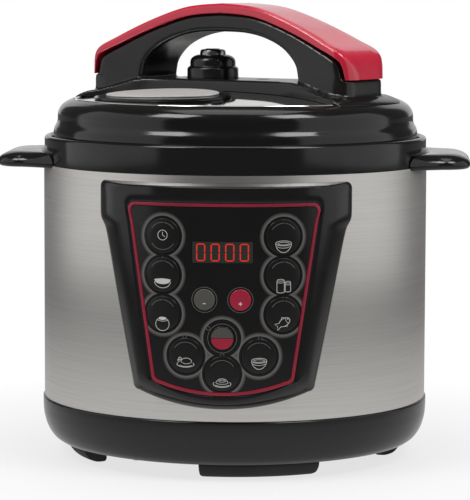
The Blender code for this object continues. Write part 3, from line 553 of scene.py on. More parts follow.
def make_side_handles():
    """Each grip is a shell with a rounded upper edge, hollow underneath."""
    for side, name in ((-1, "left"), (1, "right")):
        node = "side_handle_" + name
        low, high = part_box(node)
        edge, foot = 0.0078, 0.0040
        levels = []
        for k in range(5):
            turn = radians(90) * k / 4
            levels.append((foot * (1 - sin(turn)), low.z + foot * (1 - cos(turn))))
        for k in range(11):
            turn = radians(90) * k / 10
            levels.append((edge * 1.9 * (1 - cos(turn)), high.z - 0.0020 - edge + edge * sin(turn)))
        hollow = [(0.0062, low.z), (0.0062, high.z - 0.0085)]
        hollow += [(0.0070, high.z - 0.0075), (0.0085, high.z - 0.0070)]
        loops = [[(side * x, y, z) for x, y in grip_outline(inset)] for inset, z in hollow[::-1] + levels]
        handle = lofted(node + "_skin", loops, GLOSS)
        stand_for(handle, "root", "gloss_black", node)


# The cooking parts


def tooth_share(angle, centres):
    """1 on a tooth, 0 between teeth, with a short ramp at each end."""
    away = min(abs((angle - c + pi) % (2 * pi) - pi) for c in centres)
    return min(max((radians(13.5) - away) / radians(2.5), 0.0), 1.0)


def make_pots():
    r, z = 0.1108, 0.068
    outer = smooth([(0.0960, z), (0.1045, z + 0.0025), (0.1092, z + 0.0080), (r, z + 0.0150)])
    bend = [(r - 0.0015, z + 0.0155), (0.1079, z + 0.0092), (0.1035, z + 0.0041), (0.0955, z + 0.0016)]
    rim = [(r, 0.2228), (0.1172, 0.2228), (0.1172, 0.2246), (r - 0.0015, 0.2246)]
    profile = rounded([(0, z)] + outer + rim + smooth(bend) + [(0, z + 0.0016)], 0.0008)
    pot = turned("inner_pot_skin", profile, SPUN)
    pot.data.materials.append(COATING)
    for face in pot.data.polygons:
        across = Vector((face.center.x, face.center.y, 0))
        facing_in = across.dot(face.normal) < -0.02 * across.length
        on_floor = face.normal.z > 0.3 and face.center.z < 0.12
        face.material_index = int(facing_in or on_floor)
    stand_for(pot, "inner_pot", "pot_coating", "inner_pot")

    w, t = 0.114, 0.0015
    centres = [2 * pi * k / 6 for k in range(6)]

    def pot_profile(angle):
        lug = 0.1279 - 0.0033 * tooth_share(angle, centres)
        return rounded(
            [
                (0.040, 0.0545), (w - 0.008, 0.0545), (w, 0.0625), (w, 0.2120), (0.1297, 0.2120),
                (0.1297, 0.2263), (0.1338, 0.2263), (0.1338, 0.2283), (lug, 0.2283), (lug, 0.2263),
                (0.1282, 0.2263), (0.1282, 0.2135), (w, 0.2135), (w, 0.2225), (w - t, 0.2225),
                (w - t, 0.0631), (w - 0.0086, 0.0560), (0.040, 0.0560),
            ],
            0.0007,
            3,
        )

    pot = turned("outer_pot_skin", None, ALUMINIUM, segments=240, profile_at=pot_profile)
    stand_for(pot, "root", "aluminium", "outer_pot")


def make_heater():
    plate = [
        (0.0150, 0.0676), (0.0880, 0.0676), (0.0920, 0.0650), (0.0920, 0.0600), (0.0860, 0.0576),
        (0.0150, 0.0576),
    ]
    turned_skin("heater_plate", "root", "aluminium", plate, 0.0015, ALUMINIUM)
    support = [
        (0.0050, 0.0455), (0.0380, 0.0455), (0.0380, 0.0527), (0.0700, 0.0527), (0.0700, 0.0542),
        (0.0380, 0.0542), (0.0380, 0.0573), (0.0365, 0.0573), (0.0365, 0.0470), (0.0050, 0.0470),
    ]
    turned_skin("heater_support", "root", "brushed_steel", support, 0.0005, FASTENER, segments=96)
    cap = [
        (0, 0.0440), (0.0032, 0.0440), (0.0032, 0.0620), (0.0125, 0.0620), (0.0125, 0.0665),
        (0.0110, 0.0677), (0, 0.0677),
    ]
    turned_skin("sensor_cap", "sensor_cap", "aluminium", cap, 0.0008, SPUN, segments=64)


# The control panel


def bent(bm):
    """Wrap (distance round, radius, height) vertices round the body's axis."""
    for vert in bm.verts:
        along, radius, height = vert.co
        angle = along / PANEL_RADIUS
        vert.co = (radius * sin(angle), -radius * cos(angle), height)
    return bm


def panel_outline(top, shoulder, waist, foot, sagitta, corner):
    """Clockwise from the middle of the top edge, with round corners and a bowed bottom edge.

    top, shoulder, waist and foot are (half-width, height)."""
    steps, arc = 16, 8
    half = [((top[0] - corner) * k / steps, top[1]) for k in range(1, steps)]
    for k in range(arc):
        turn = radians(90) * k / arc
        half.append((top[0] - corner + corner * sin(turn), top[1] - corner + corner * cos(turn)))
    start = (top[0], top[1] - corner)
    end = (foot[0], foot[1] + corner)
    flank = []
    for a, b in ((start, shoulder), (shoulder, waist), (waist, end)):
        flank += [(a[0] + (b[0] - a[0]) * k / 8, a[1] + (b[1] - a[1]) * k / 8) for k in range(8)]
    for _ in range(3):
        flank[1:] = [
            ((a[0] + 2 * b[0] + c[0]) / 4, (a[1] + 2 * b[1] + c[1]) / 4)
            for a, b, c in zip(flank, flank[1:], flank[2:] + [end])
        ]
    half += flank
    for k in range(arc):
        turn = radians(90) * k / arc
        half.append((foot[0] - corner + corner * cos(turn), foot[1] + corner - corner * sin(turn)))
    for k in range(steps):
        share = 1 - k / steps
        half.append(((foot[0] - corner) * share, foot[1] - sagitta * (1 - share**2)))
    return [(0, top[1])] + half + [(0, foot[1] - sagitta)] + [(-s, z) for s, z in half[::-1]]


def face_outline(inset):
    return panel_outline(
        (0.0693 - inset, 0.1958 - inset), (0.0672 - inset, 0.1815), (0.0662 - inset, 0.1750),
        (0.0508 - inset, 0.0700 + inset),
        0.0074,
        0.0055 - inset / 2,
    )


def bent_frame(name, loops, material):
    """A closed ring through outlines of equal length, each given with its radius."""
    bm = bmesh.new()
    rings = [[bm.verts.new((s, radius, z)) for s, z in loop] for loop, radius in loops]
    bridge(bm, rings, True)
    return finish(name, bent(bm), material)


def cut_plate(bm, outline, back, front, pitch):
    """A flat plate between two radii, cut into strips so that it can be bent."""
    bm.faces.new([bm.verts.new((s, back, z)) for s, z in outline])
    first, last = int(min(s for s, _ in outline) / pitch), int(max(s for s, _ in outline) / pitch)
    for k in range(first, last + 1):
        geometry = bm.verts[:] + bm.edges[:] + bm.faces[:]
        bmesh.ops.bisect_plane(bm, geom=geometry, dist=1e-6, plane_co=(k * pitch, 0, 0), plane_no=(1, 0, 0))
    for vert in bmesh.ops.extrude_face_region(bm, geom=bm.faces[:])["geom"]:
        if isinstance(vert, bmesh.types.BMVert):
            vert.co.y = front
    bmesh.ops.triangulate(bm, faces=bm.faces[:])


def bent_plate(name, outline, back, front, material=None, pitch=0.0025):
    """A plate cut from the flat and wrapped round the body, between two radii."""
    bm = bmesh.new()
    cut_plate(bm, outline, back, front, pitch)
    return finish(name, bent(bm), material)


def circle(s, z, radius, segments=72):
    angles = [2 * pi * k / segments for k in range(segments)]
    return [(s + radius * sin(angle), z + radius * cos(angle)) for angle in angles]


def make_bezel():
    edge_points = (0.0996, 0.2086), (0.0996, 0.1832), (0.0938, 0.1753), (0.0690, 0.0640)
    outer = panel_outline(*edge_points, sagitta=0.0114, corner=0.0050)
    crease_points = (0.0750, 0.2060), (0.0752, 0.1815), (0.0738, 0.1750), (0.0583, 0.0725)
    crease = panel_outline(*crease_points, sagitta=0.0138, corner=0.0080)
    opening = face_outline(0)

    def between(first, second, share):
        pairs = zip(first, second)
        return [(a[0] + (b[0] - a[0]) * share, a[1] + (b[1] - a[1]) * share) for a, b in pairs]

    loops = [(outer, 0.1406), (outer, 0.1412)]
    flank = smooth([(0.0, 0.1413), (0.25, 0.1442), (0.70, 0.1484), (1.0, 0.14955)], 5)
    loops += [(between(outer, crease, min(max(share, 0.004), 1)), radius) for share, radius in flank]
    lip = [(0.10, 0.1496), (0.5, 0.1496), (0.90, 0.1495), (0.97, 0.1493), (1.0, 0.1490)]
    loops += [(between(crease, opening, share), radius) for share, radius in lip]
    back = [(0, 0.1412), (0.3, 0.1410), (0.6, 0.1409), (0.85, 0.1407)]
    loops += [(between(opening, outer, share), radius) for share, radius in back]
    stand_for(bent_frame("panel_bezel_skin", loops, GLOSS), "root", "gloss_black", "panel_bezel")

    edge, outside, inside, back = 0.0005, 0.0003, 0.0027, 0.1458
    steps = [(outside, back), (outside, KEY_FRONT - edge), (outside + edge * 0.3, KEY_FRONT - edge * 0.3)]
    steps += [(outside + edge, KEY_FRONT), (inside - edge, KEY_FRONT)]
    steps += [(inside - edge * 0.3, KEY_FRONT - edge * 0.3), (inside, KEY_FRONT - edge), (inside, back)]
    loops = [(face_outline(inset), radius) for inset, radius in steps]
    stand_for(bent_frame("panel_trim_skin", loops, TRIM), "root", "trim_red", "panel_trim")


def rounded_box_outline(centre_s, centre_z, half_s, half_z, corner, arc=6):
    points = []
    for quarter, (x, z) in enumerate(((1, 1), (-1, 1), (-1, -1), (1, -1))):
        s, height = centre_s + x * (half_s - corner), centre_z + z * (half_z - corner)
        for k in range(arc + 1):
            angle = quarter * pi / 2 + k * pi / 2 / arc
            points.append((s + corner * cos(angle), height + corner * sin(angle)))
    return points


def make_face():
    face = bent_plate("panel_face_skin", face_outline(0.0030), 0.1455, 0.1487, FACE)
    half = 0.0213
    outline = rounded_box_outline(0, DISPLAY_HEIGHT, half, 0.0077, 0.0006)
    cut(face, bent_plate("window_cutter", outline, 0.143, 0.151))
    for name, s, z, radius in KEYS:
        cut(face, bent_plate(name + "_hole", circle(s, z, radius + 0.0003), 0.143, 0.151))
    stand_for(face, "root", "gloss_black", "panel_face")
    outline = rounded_box_outline(0, DISPLAY_HEIGHT, half - 0.0003, 0.0074, 0.0005)
    window = bent_plate("display_window_skin", outline, 0.1468, 0.1486, WINDOW)
    stand_for(window, "root", "display_window", "display_window")


def make_key(name, s, z, radius, material):
    """A cap with a softly rounded edge, its face on the panel's curve."""
    bm = bmesh.new()
    edge = 0.0006
    levels = [(radius, 0.1440), (radius, KEY_FRONT - edge)]
    for turn in (pi / 8, pi / 4, 3 * pi / 8):
        levels.append((radius - edge * (1 - cos(turn)), KEY_FRONT - edge * (1 - sin(turn))))
    levels += [(radius - edge, KEY_FRONT), (radius * 0.6, KEY_FRONT), (radius * 0.3, KEY_FRONT)]
    rings = [[bm.verts.new((x, r, y)) for x, y in circle(s, z, size)] for size, r in levels]
    bridge(bm, rings, False)
    back = bm.verts.new((s, 0.1440, z))
    front = bm.verts.new((s, KEY_FRONT, z))
    for ring, middle in ((rings[0], back), (rings[-1], front)):
        for k, vert in enumerate(ring):
            bm.faces.new((vert, ring[(k + 1) % len(ring)], middle))
    return stand_for(finish(name + "_cap", bent(bm), material), name, "key_grey", name)


# Prints on the panel, as thin raised strokes


class Print:
    """Strokes and patches of one colour, in (distance round, height), that become one thin bent solid."""

    def __init__(self, s, z, low=0.1490, high=0.14930):
        self.bm = bmesh.new()
        self.s, self.z, self.low, self.high = s, z, low, high

    def patch(self, outline):
        """A filled outline, in millimetres from the print's centre, cut into strips that follow the curve."""
        points = [(self.s + x * 0.001, self.z + y * 0.001) for x, y in outline]
        plate = bmesh.new()
        cut_plate(plate, points, self.low, self.high, 0.001)
        mesh = bpy.data.meshes.new("patch")
        plate.to_mesh(mesh)
        plate.free()
        self.bm.from_mesh(mesh)
        bpy.data.meshes.remove(mesh)

    def stroke(self, points, width=0.36, closed=False):
        """A band of that width along points, all in millimetres from the print's centre."""
        line = [Vector(p) for p in points]
        count = len(line)
        sides = []
        for k, point in enumerate(line):
            before = line[k - 1] if closed or k else point
            after = line[(k + 1) % count] if closed or k < count - 1 else point
            along = (after - before).normalized()
            sides.append((point, Vector((along.y, -along.x)) * width / 2))
        rings = []
        for point, side in sides:
            corners = []
            for sign, radius in ((1, self.low), (1, self.high), (-1, self.high), (-1, self.low)):
                place = (point + side * sign) * 0.001
                corners.append(self.bm.verts.new((self.s + place.x, radius, self.z + place.y)))
            rings.append(corners)
        bridge(self.bm, rings, closed)
        if not closed:
            self.bm.faces.new(rings[0])
            self.bm.faces.new(rings[-1])

    def arc(self, x, y, rx, ry, start, end, width=0.36, tilt=0.0):
        """Part of an ellipse, with angles in degrees from +x."""
        closed = abs(end - start) >= 360
        steps = max(6, int(abs(end - start) / 7))
        points = []
        for k in range(steps if closed else steps + 1):
            angle = radians(start + (end - start) * k / steps)
            a, b = rx * cos(angle), ry * sin(angle)
            points.append((x + a * cos(tilt) - b * sin(tilt), y + a * sin(tilt) + b * cos(tilt)))
        self.stroke(points, width, closed)

    def done(self, name, material, body, slot="key_grey"):
        return stand_for(finish(name, bent(self.bm), material), body, slot)


def ellipse(x, y, rx, ry, start=0, end=360, steps=28):
    count = steps if end - start == 360 else steps + 1
    angles = [radians(start + (end - start) * k / steps) for k in range(count)]
    return [(x + rx * cos(angle), y + ry * sin(angle)) for angle in angles]


def rice(icon):
    top = [(-5.9 + 11.8 * k / 24, -3.5 + 0.35 * (k % 2) + 0.6 * sin(pi * k / 24)) for k in range(25)]
    bottom = [(5.6 * cos(radians(-180 * k / 16)), -4.2 - 2.4 * sin(pi * k / 16)) for k in range(1, 16)]
    icon.patch(top + bottom)
    icon.arc(0, -4.3, 6.0, 4.9, -172, -8)


def porridge(icon):
    icon.patch(ellipse(0, -3.5, 2.9, 1.1))
    icon.arc(0, -7.4, 4.9, 4.6, 128, 412)
    icon.arc(0, -3.9, 4.3, 1.5, 195, 345, 0.3)


def meat(icon):
    icon.arc(0, -5.9, 6.0, 2.0, 150, 390)
    icon.arc(0, -6.3, 4.3, 1.1, 190, 350, 0.3)
    icon.arc(0.6, -3.9, 3.7, 2.3, -20, 200)
    icon.arc(0.6, -4.1, 3.0, 1.5, 200, 340, 0.3)
    icon.arc(-3.9, -2.1, 1.0, 1.0, 0, 360, 0.4)
    icon.arc(-4.6, -3.3, 0.8, 0.8, 60, 290, 0.4)


def jelly(icon):
    icon.arc(0, -6.9, 6.1, 2.3, 150, 390)
    icon.arc(0, -7.3, 4.6, 1.3, 190, 350, 0.3)
    icon.stroke([(-4.3, -6.2), (-3.6, -5.0), (-2.4, -3.7), (0, -3.2), (2.4, -3.7), (3.6, -5.0), (4.3, -6.2)])
    icon.arc(0, -4.9, 2.3, 0.7, 0, 360, 0.3)
    icon.arc(0, -6.1, 4.0, 1.0, 190, 350, 0.3)


def bowl(icon, top, half, depth):
    icon.arc(0, top, half, 1.7, 0, 360)
    icon.arc(0, top - 0.2, half * 0.72, 0.9, 0, 360, 0.3)
    icon.arc(0, top, half, depth, 184, 246)
    icon.arc(0, top, half, depth, 294, 356)
    base = top - depth * 0.9
    icon.arc(0, base, half * 0.42, 0.7, 180, 360)
    icon.arc(0, top - 1.6, half * 0.86, 1.7, 200, 340, 0.3)


def jars(icon):
    for x, top, half, foot in ((-1.9, -3.1, 2.6, -11.2), (3.2, -4.5, 1.9, -10.6)):
        icon.arc(x, top, half * 0.9, 0.6, 0, 360, 0.3)
        side = [(x - half * 0.9, top), (x - half, top - 1.2), (x - half, foot)]
        icon.stroke(side)
        icon.stroke([(2 * x - a, b) for a, b in side])
        icon.arc(x, foot, half, 0.7, 180, 360)
        icon.arc(x, top - 1.3, half, 0.6, 180, 360, 0.3)


def fish(icon):
    tilt = radians(32)
    icon.arc(0.9, -5.3, 4.2, 2.6, -150, 150, 0.36, tilt)

    def turned_point(a, b):
        return (0.9 + a * cos(tilt) - b * sin(tilt), -5.3 + a * sin(tilt) + b * cos(tilt))

    tail = [(-3.6, 1.3), (-6.6, 2.6), (-5.6, 0.1), (-6.9, -2.2), (-3.6, -1.3)]
    icon.stroke([turned_point(a, b) for a, b in tail])
    icon.stroke([turned_point(2.0 - 0.6 * sin(pi * k / 8), 2.2 - 4.4 * k / 8) for k in range(9)], 0.3)
    icon.arc(*turned_point(3.1, 0.6), 0.35, 0.35, 0, 360, 0.3)
    icon.stroke([turned_point(a, b) for a, b in ((-1.2, 2.6), (0.2, 3.9), (1.6, 2.5))], 0.3)
    icon.stroke([turned_point(a, b) for a, b in ((-1.0, -2.6), (-0.2, -3.6), (0.8, -2.6))], 0.3)


def clock(icon):
    icon.arc(0, 0.6, 3.4, 3.4, 0, 360)
    icon.stroke([(0, 2.8), (0, 0.6), (1.7, -0.5)])


ICONS = {
    "key_delay": clock,
    "key_rice": rice,
    "key_porridge": porridge,
    "key_meat": meat,
    "key_jelly": jelly,
    "key_soup": lambda icon: bowl(icon, -2.9, 5.2, 5.8),
    "key_stew": lambda icon: bowl(icon, -4.4, 5.5, 6.2),
    "key_baby_food": jars,
    "key_fish": fish,
}


def make_keys():
    caps = {"key_minus": KEY_GREY, "key_plus": KEY_RED}
    marks = Print(0, 0, 0.1485, 0.14878)
    for name, s, z, radius in KEYS:
        make_key(name, s, z, radius, caps.get(name, KEY_BLACK))
        if name in ICONS:
            arcs = Print(s, z)
            arcs.arc(0, 0, 9.4, 9.4, 33, 147, 0.42)
            if name == "key_delay":
                arcs.arc(0, 0, 9.4, 9.4, 213, 327, 0.42)
            arcs.done(name + "_arc", PRINT_GREY, name)
            if name not in ("key_meat", "key_jelly", "key_soup"):
                lamp = Print(s, z)
                lamp.arc(1.0, 10.5, 1.3, 1.3, 0, 360, 0.3)
                lamp.done(name + "_lamp", PRINT_DIM, name)
            icon = Print(s, z)
            ICONS[name](icon)
            icon.done(name + "_icon", WHITE_PRINT_PAINTED_GLOW, name)
        else:
            ring = 10.0 if name == "key_cancel" else 8.7
            marks.arc(s * 1000, z * 1000, ring, ring, 0, 360, 0.36)
    for x, y in ((-9.8, 109.9), (0, 91.0), (-26.2, 103.7), (26.2, 103.7)):
        marks.arc(x, y, 1.3, 1.3, 0, 360, 0.3)
    marks.done("panel_marks", PRINT_GREY, "root", "gloss_black")

    for name, start, lift, material in (("upper", 0, 0.2, KEY_GREY), ("lower", 180, -0.2, KEY_RED)):
        half = Print(0.0, 0.1030, 0.1490, 0.14926)
        half.patch([(x, y + lift) for x, y in ellipse(0, 0, 7.6, 7.4, start, start + 180, 40)])
        half.done(f"key_cancel_{name}_print", material, "key_cancel")
    mark = Print(-0.0124, 0.1294)
    mark.patch([(-1.1, -2.9), (1.1, -2.9), (1.1, -2.3), (-1.1, -2.3)])
    mark.done("key_minus_mark", WHITE_PRINT_PAINTED_GLOW, "key_minus")
    mark = Print(0.0124, 0.1294)
    a, b = 1.3, 0.33
    cross = [(b, a), (b, b), (a, b), (a, -b), (b, -b), (b, -a)]
    cross += [(-x, -y) for x, y in cross]
    mark.patch([(x, y - 2.6) for x, y in cross])
    mark.done("key_plus_mark", WHITE_PRINT_PAINTED_GLOW, "key_plus")


def make_digits():
    """Four seven-segment zeros."""
    digits = Print(0, DISPLAY_HEIGHT, 0.1484, 0.14866)
    half_w, half_h, stroke, corner, gap = 2.75, 5.7, 0.85, 1.0, 0.28
    for place in (-15, -5, 5, 15):
        for side in (-1, 1):
            x = place + side * half_w
            for up in (-1, 1):
                points = [(x, up * gap), (x, up * (half_h - corner))]
                points.append((x - side * corner * 0.3, up * (half_h - corner * 0.3)))
                digits.stroke(points, stroke)
        for up in (-1, 1):
            y = up * half_h
            reach = half_w - corner * 0.55
            digits.stroke([(place - reach, y), (place + reach, y)], stroke)
    digits.done("display_digits", SEGMENT, "root", "display_window")


# The lid


DOME = [(0, 0.2670), (0.020, 0.26685), (0.0400, 0.2662), (0.0625, 0.2649), (0.0850, 0.2632), (0.1010, 0.2615)]
DOME += [(0.1160, 0.2596)]


def raised_dome(rise):
    return smooth([(r, z + rise) for r, z in DOME], 4)


def make_lid():
    s = 0.1218
    centres = [2 * pi * (k + 0.5) / 6 - LID_YAW for k in range(6)]
    bead = [(0.1150, 0.2599), (0.1158, 0.2604), (0.1167, 0.2608), (0.1176, 0.2604), (0.1180, 0.2592)]
    edge = smooth([(0.1184, 0.2585), (0.1202, 0.2572), (0.1214, 0.2552), (s, 0.2530)], 4)
    outer = [point for point in raised_dome(0) if point[0] < 0.1145] + smooth(bead, 3) + edge

    def plate_profile(angle):
        tooth = s + 0.0006 + 0.0049 * tooth_share(angle, centres)
        lower = [(s, 0.2256), (tooth, 0.2256), (tooth, 0.2226), (s - 0.0015, 0.2226), (s - 0.0015, 0.2526)]
        inside = [(0.1152, 0.2580), (0.0850, 0.2615), (0.0400, 0.2645), (0, 0.2654)]
        return rounded(outer + lower + inside, 0.0007, 3)

    plate = turned("lid_plate_skin", None, DOME_STEEL, segments=240, profile_at=plate_profile)
    for centre, radius in ((VALVE_CENTRE, 0.0063), (FLOAT_CENTRE, 0.0042)):
        hole = turned("hole", [(0, 0.270), (radius, 0.270), (radius, 0.255), (0, 0.255)], None, centre, 48)
        cut(plate, hole)
    stand_for(on_lid(plate), "lid", "polished_steel", "lid_plate")

    profile = smooth(
        [
            (0.1330, 0.2324), (0.1330, 0.2362), (0.1323, 0.2397), (0.1302, 0.2443),
            (0.1296, 0.2510), (0.1272, 0.2555), (0.1234, 0.2584), (0.1196, 0.2602),
        ],
        7,
    )
    profile += [
        (0.1183, 0.2600), (0.1183, 0.2593), (0.1208, 0.2578), (0.1226, 0.2534), (0.1226, 0.2500),
        (0.1264, 0.2494), (0.1270, 0.2432), (0.1297, 0.2386), (0.1304, 0.2324),
    ]
    cover = turned("lid_cover_skin", rounded(profile, 0.0006, 3), GLOSS, segments=256)
    stand_for(on_lid(cover), "lid", "gloss_black", "lid_cover")


def mirrored(half):
    return [Vector((-x, z)) for x, z in half[:0:-1]] + [Vector(p) for p in half]


def offset(curve, distance):
    moved = []
    for k, point in enumerate(curve):
        along = (curve[min(k + 1, len(curve) - 1)] - curve[max(k - 1, 0)]).normalized()
        moved.append(point + distance * Vector((along.y, -along.x)))
    return moved


CAP_TOP = [(0, 0.3300), (0.030, 0.3272), (0.060, 0.3176), (0.088, 0.3050), (0.1080, 0.2935), (0.1134, 0.2770)]
ARCH_OPENING = [(0, 0.3095), (0.020, 0.3087), (0.038, 0.3050), (0.054, 0.2977), (0.0645, 0.2870)]
ARCH_OPENING += [(0.067, 0.2770)]
CAP_THICKNESS = 0.007


ARCH_END = 0.1138
ARCH_END_CORNER = 0.0140


def arch_half_width(u):
    """The handle's half width: it widens away from the middle, and its ends are round in plan."""
    reach = max(ARCH_END_CORNER - (ARCH_END - abs(u)), 0.0)
    missing = ARCH_END_CORNER - sqrt(max(ARCH_END_CORNER**2 - reach**2, 0.0))
    return 0.0208 + 0.0080 * min(abs(u) / 0.100, 1.0) ** 2 - missing


def swept_arch(name, outer, inner, material, corners, scale=1.0):
    """A closed solid between an outer and an inner curve in the lid's upright (u, z) plane.

    corners are the rounding radii at the outer and the inner curve."""
    full = 0.028
    loops = []
    for top, bottom in zip(outer, inner):
        depth = (bottom - top).length
        down = (bottom - top) / depth
        upper, lower = (min(radius, depth * 0.48) for radius in corners)
        side = []
        for step in range(9):
            turn = radians(90) * step / 8
            side.append((full - upper + upper * sin(turn), upper - upper * cos(turn)))
        for share in (0.25, 0.5, 0.75):
            side.append((full, upper + (depth - lower - upper) * share))
        for step in range(9):
            turn = radians(90) * step / 8
            side.append((full - lower + lower * cos(turn), depth - lower + lower * sin(turn)))
        loop = [(full * share, 0.0) for share in (-0.6, -0.3, 0, 0.3, 0.6)]
        loop += side + [(-v, d) for v, d in side[::-1]]
        ring = []
        for v, d in loop:
            u = top.x + down.x * d
            ring.append((u, v / full * arch_half_width(u) * scale, top.y + down.y * d))
        loops.append(ring)
    return lofted(name, loops, material)


BASE_WAIST = [(0, 0.0270), (0.030, 0.0272), (0.055, 0.0285), (0.075, 0.0325), (0.092, 0.0365)]
BASE_WAIST += [(0.104, 0.0405)]
BASE_END_RADIUS = 0.1233
BASE_END_ANGLE = radians(21)
BASE_FOOT = 0.2560
BASE_SECTION = [(1.0, BASE_FOOT), (1.0, 0.2600), (0.985, 0.2635), (0.955, 0.2662), (0.90, 0.2690)]
BASE_SECTION += [(0.82, 0.2720), (0.74, 0.2742), (0.66, 0.2750)]


def base_loops():
    """The handle's base: a waisted bar whose ends flare out to the rim, as loops from the dome upwards."""
    turns = [BASE_END_ANGLE * k / 12 for k in range(12, -1, -1)]
    end = [(BASE_END_RADIUS * cos(turn), BASE_END_RADIUS * sin(turn)) for turn in turns]
    waist = smooth(BASE_WAIST + end[:1], 8)
    quarter = rounded([(0.0, 0.0)] + waist + end[1:], 0.008)[1:]
    quarter = [point for point in quarter if point[1] > 1e-6] + [(BASE_END_RADIUS, 0.0)]
    half = quarter + [(u, -v) for u, v in quarter[-2::-1]]
    outline = half + [(-u, v) for u, v in half[-2:0:-1]]
    loops = []
    for share, level in BASE_SECTION:
        # The ends slope down to the rim, and the long sides stay steep.
        loop = []
        for u, v in outline:
            fall = min(max((abs(u) - 0.072) / 0.045, 0.0), 1.0)
            rise = (level - BASE_FOOT) * (1 - 0.50 * fall * fall * (3 - 2 * fall))
            loop.append((u * (1 - (1 - share) * 0.40), v * (1 - (1 - share) * 0.30), BASE_FOOT + rise))
        loops.append(loop)
    return loops


def make_handle():
    cap_top = mirrored(smooth(CAP_TOP, 10))
    arch_top = offset(cap_top, CAP_THICKNESS + 0.0003)
    opening = mirrored(smooth(ARCH_OPENING, 10))
    for end in (0, -1):
        arch_top[end].y = 0.2770
    post_end = 0.1114
    feet = [Vector((post_end, 0.2767)), Vector((post_end, 0.2660)), Vector((post_end, 0.2600))]
    legs = [Vector((0.0675, 0.2765)), Vector((0.0690, 0.2700)), Vector((0.0700, 0.2600))]
    outer = [Vector((-p.x, p.y)) for p in feet[::-1]] + arch_top + feet
    inner = [Vector((-p.x, p.y)) for p in legs[::-1]] + opening + legs
    handle = swept_arch("lid_handle_skin", outer, inner, None, (0.004, 0.003), 0.965)
    bar = lofted("bar", base_loops(), None)
    bm = bmesh.new()
    bm.from_mesh(handle.data)
    bm.from_mesh(bar.data)
    bm.to_mesh(handle.data)
    bm.free()
    bpy.data.objects.remove(bar, do_unlink=True)
    remesh = handle.modifiers.new("merge", "REMESH")
    remesh.mode = "VOXEL"
    remesh.voxel_size = 0.0009
    soften = handle.modifiers.new("soften", "SMOOTH")
    soften.factor = 0.5
    soften.iterations = 26
    applied(handle)
    room = [(0, 0.2500), (0.1260, 0.2500), (0.1260, 0.2572), (0.1234, 0.2588), (0.1196, 0.2608)]
    room += [(0.1182, 0.2612), (0.1150, 0.2612)]
    room += [point for point in raised_dome(0.0003)[::-1] if point[0] < 0.1145]
    cut(handle, turned("handle_room", room, None))
    well = rounded([(0, 0.2500), (0.0200, 0.2500), (0.0200, 0.2765), (0, 0.2765)], 0.001)
    cut(handle, turned("valve_well", well, None, VALVE_CENTRE, 96))
    slot = [(0, 0.2500), (0.0050, 0.2500), (0.0050, 0.2765), (0, 0.2765)]
    cut(handle, turned("float_well", slot, None, FLOAT_CENTRE, 48))
    handle.data.materials.clear()
    handle.data.materials.append(HANDLE_BLACK)
    stand_for(on_lid(handle), "lid", "gloss_black", "lid_handle")

    under = [
        top.lerp(low, 1 - 0.35 * min(abs(top.x) / ARCH_END, 1.0) ** 3)
        for top, low in zip(cap_top, offset(cap_top, CAP_THICKNESS))
    ]
    for end in (0, -1):
        under[end].y = 0.2770
    cap = swept_arch("handle_cap_skin", cap_top, under, CAP_RED, (0.0034, 0.0008))
    stand_for(on_lid(cap), "lid", "red_plastic", "handle_cap")


def make_badge():
    """The oval pad and its blank metal plate, which follow the dome in front of the handle."""
    for node, axes, low, high, material, slot in (
        ("badge_base", (0.055, 0.033), 0.0003, 0.0020, GLOSS, "gloss_black"),
        ("badge_plate", (0.046, 0.025), 0.0023, 0.0031, BADGE_STEEL, "brushed_steel"),
    ):
        outline = ellipse(*BADGE_CENTRE, *axes, steps=96)
        piece = prism(node + "_skin", outline, 0.2500, 0.2800, material)
        layer = turned("layer", raised_dome(high) + raised_dome(low)[::-1], None)
        cut(piece, layer, "INTERSECT")
        edge = piece.modifiers.new("soft_edge", "BEVEL")
        edge.width = (high - low) * 0.35
        edge.segments = 3
        edge.limit_method = "ANGLE"
        edge.angle_limit = radians(50)
        stand_for(on_lid(piece), "lid", slot, node)


def make_valves():
    knob = [
        (0.0188, 0.2705), (0.0188, 0.2820), (0.0178, 0.2832), (0.0167, 0.2837), (0.0167, 0.2874),
        (0.0158, 0.2895), (0.0138, 0.2911), (0.0110, 0.2920), (0.0098, 0.2920), (0.0098, 0.2850),
        (0.0055, 0.2850), (0.0055, 0.2705),
    ]
    over_valve = {"centre": VALVE_CENTRE, "segments": 96, "lid": True}
    turned_skin("pressure_valve", "pressure_valve", "gloss_black", knob, 0.0009, HANDLE_BLACK, **over_valve)
    weight = [
        (0, 0.2966), (0.0050, 0.29655), (0.0060, 0.2959), (0.0074, 0.2961), (0.0090, 0.2954),
        (0.0095, 0.2934), (0.0095, 0.2853), (0.0042, 0.2853), (0.0042, 0.2786), (0, 0.2786),
    ]
    turned_skin("valve_weight", "valve_weight", "polished_steel", weight, 0.0006, WEIGHT, **over_valve)
    pin = [(0, 0.2540), (0.0068, 0.2540), (0.0068, 0.2560), (0.0034, 0.2560), (0.0034, 0.2725), (0, 0.2725)]
    turned_skin("float_valve", "float_valve", "red_plastic", pin, 0.0005, CAP_RED, FLOAT_CENTRE, 64, True)
    washer = [(0.0039, 0.2616), (0.0080, 0.2616), (0.0080, 0.2645), (0.0039, 0.2645)]
    turned_skin("float_seal", "lid", "silicone", washer, 0.0007, SILICONE, FLOAT_CENTRE, 64, True)
    pipe = [(0.0018, 0.2520), (0.0085, 0.2520), (0.0085, 0.2643), (0.0050, 0.2643), (0.0050, 0.2783)]
    pipe += [(0.0018, 0.2783)]
    turned_skin("steam_pipe", "lid", "fastener_steel", pipe, 0.0004, FASTENER, VALVE_CENTRE, 64, True)


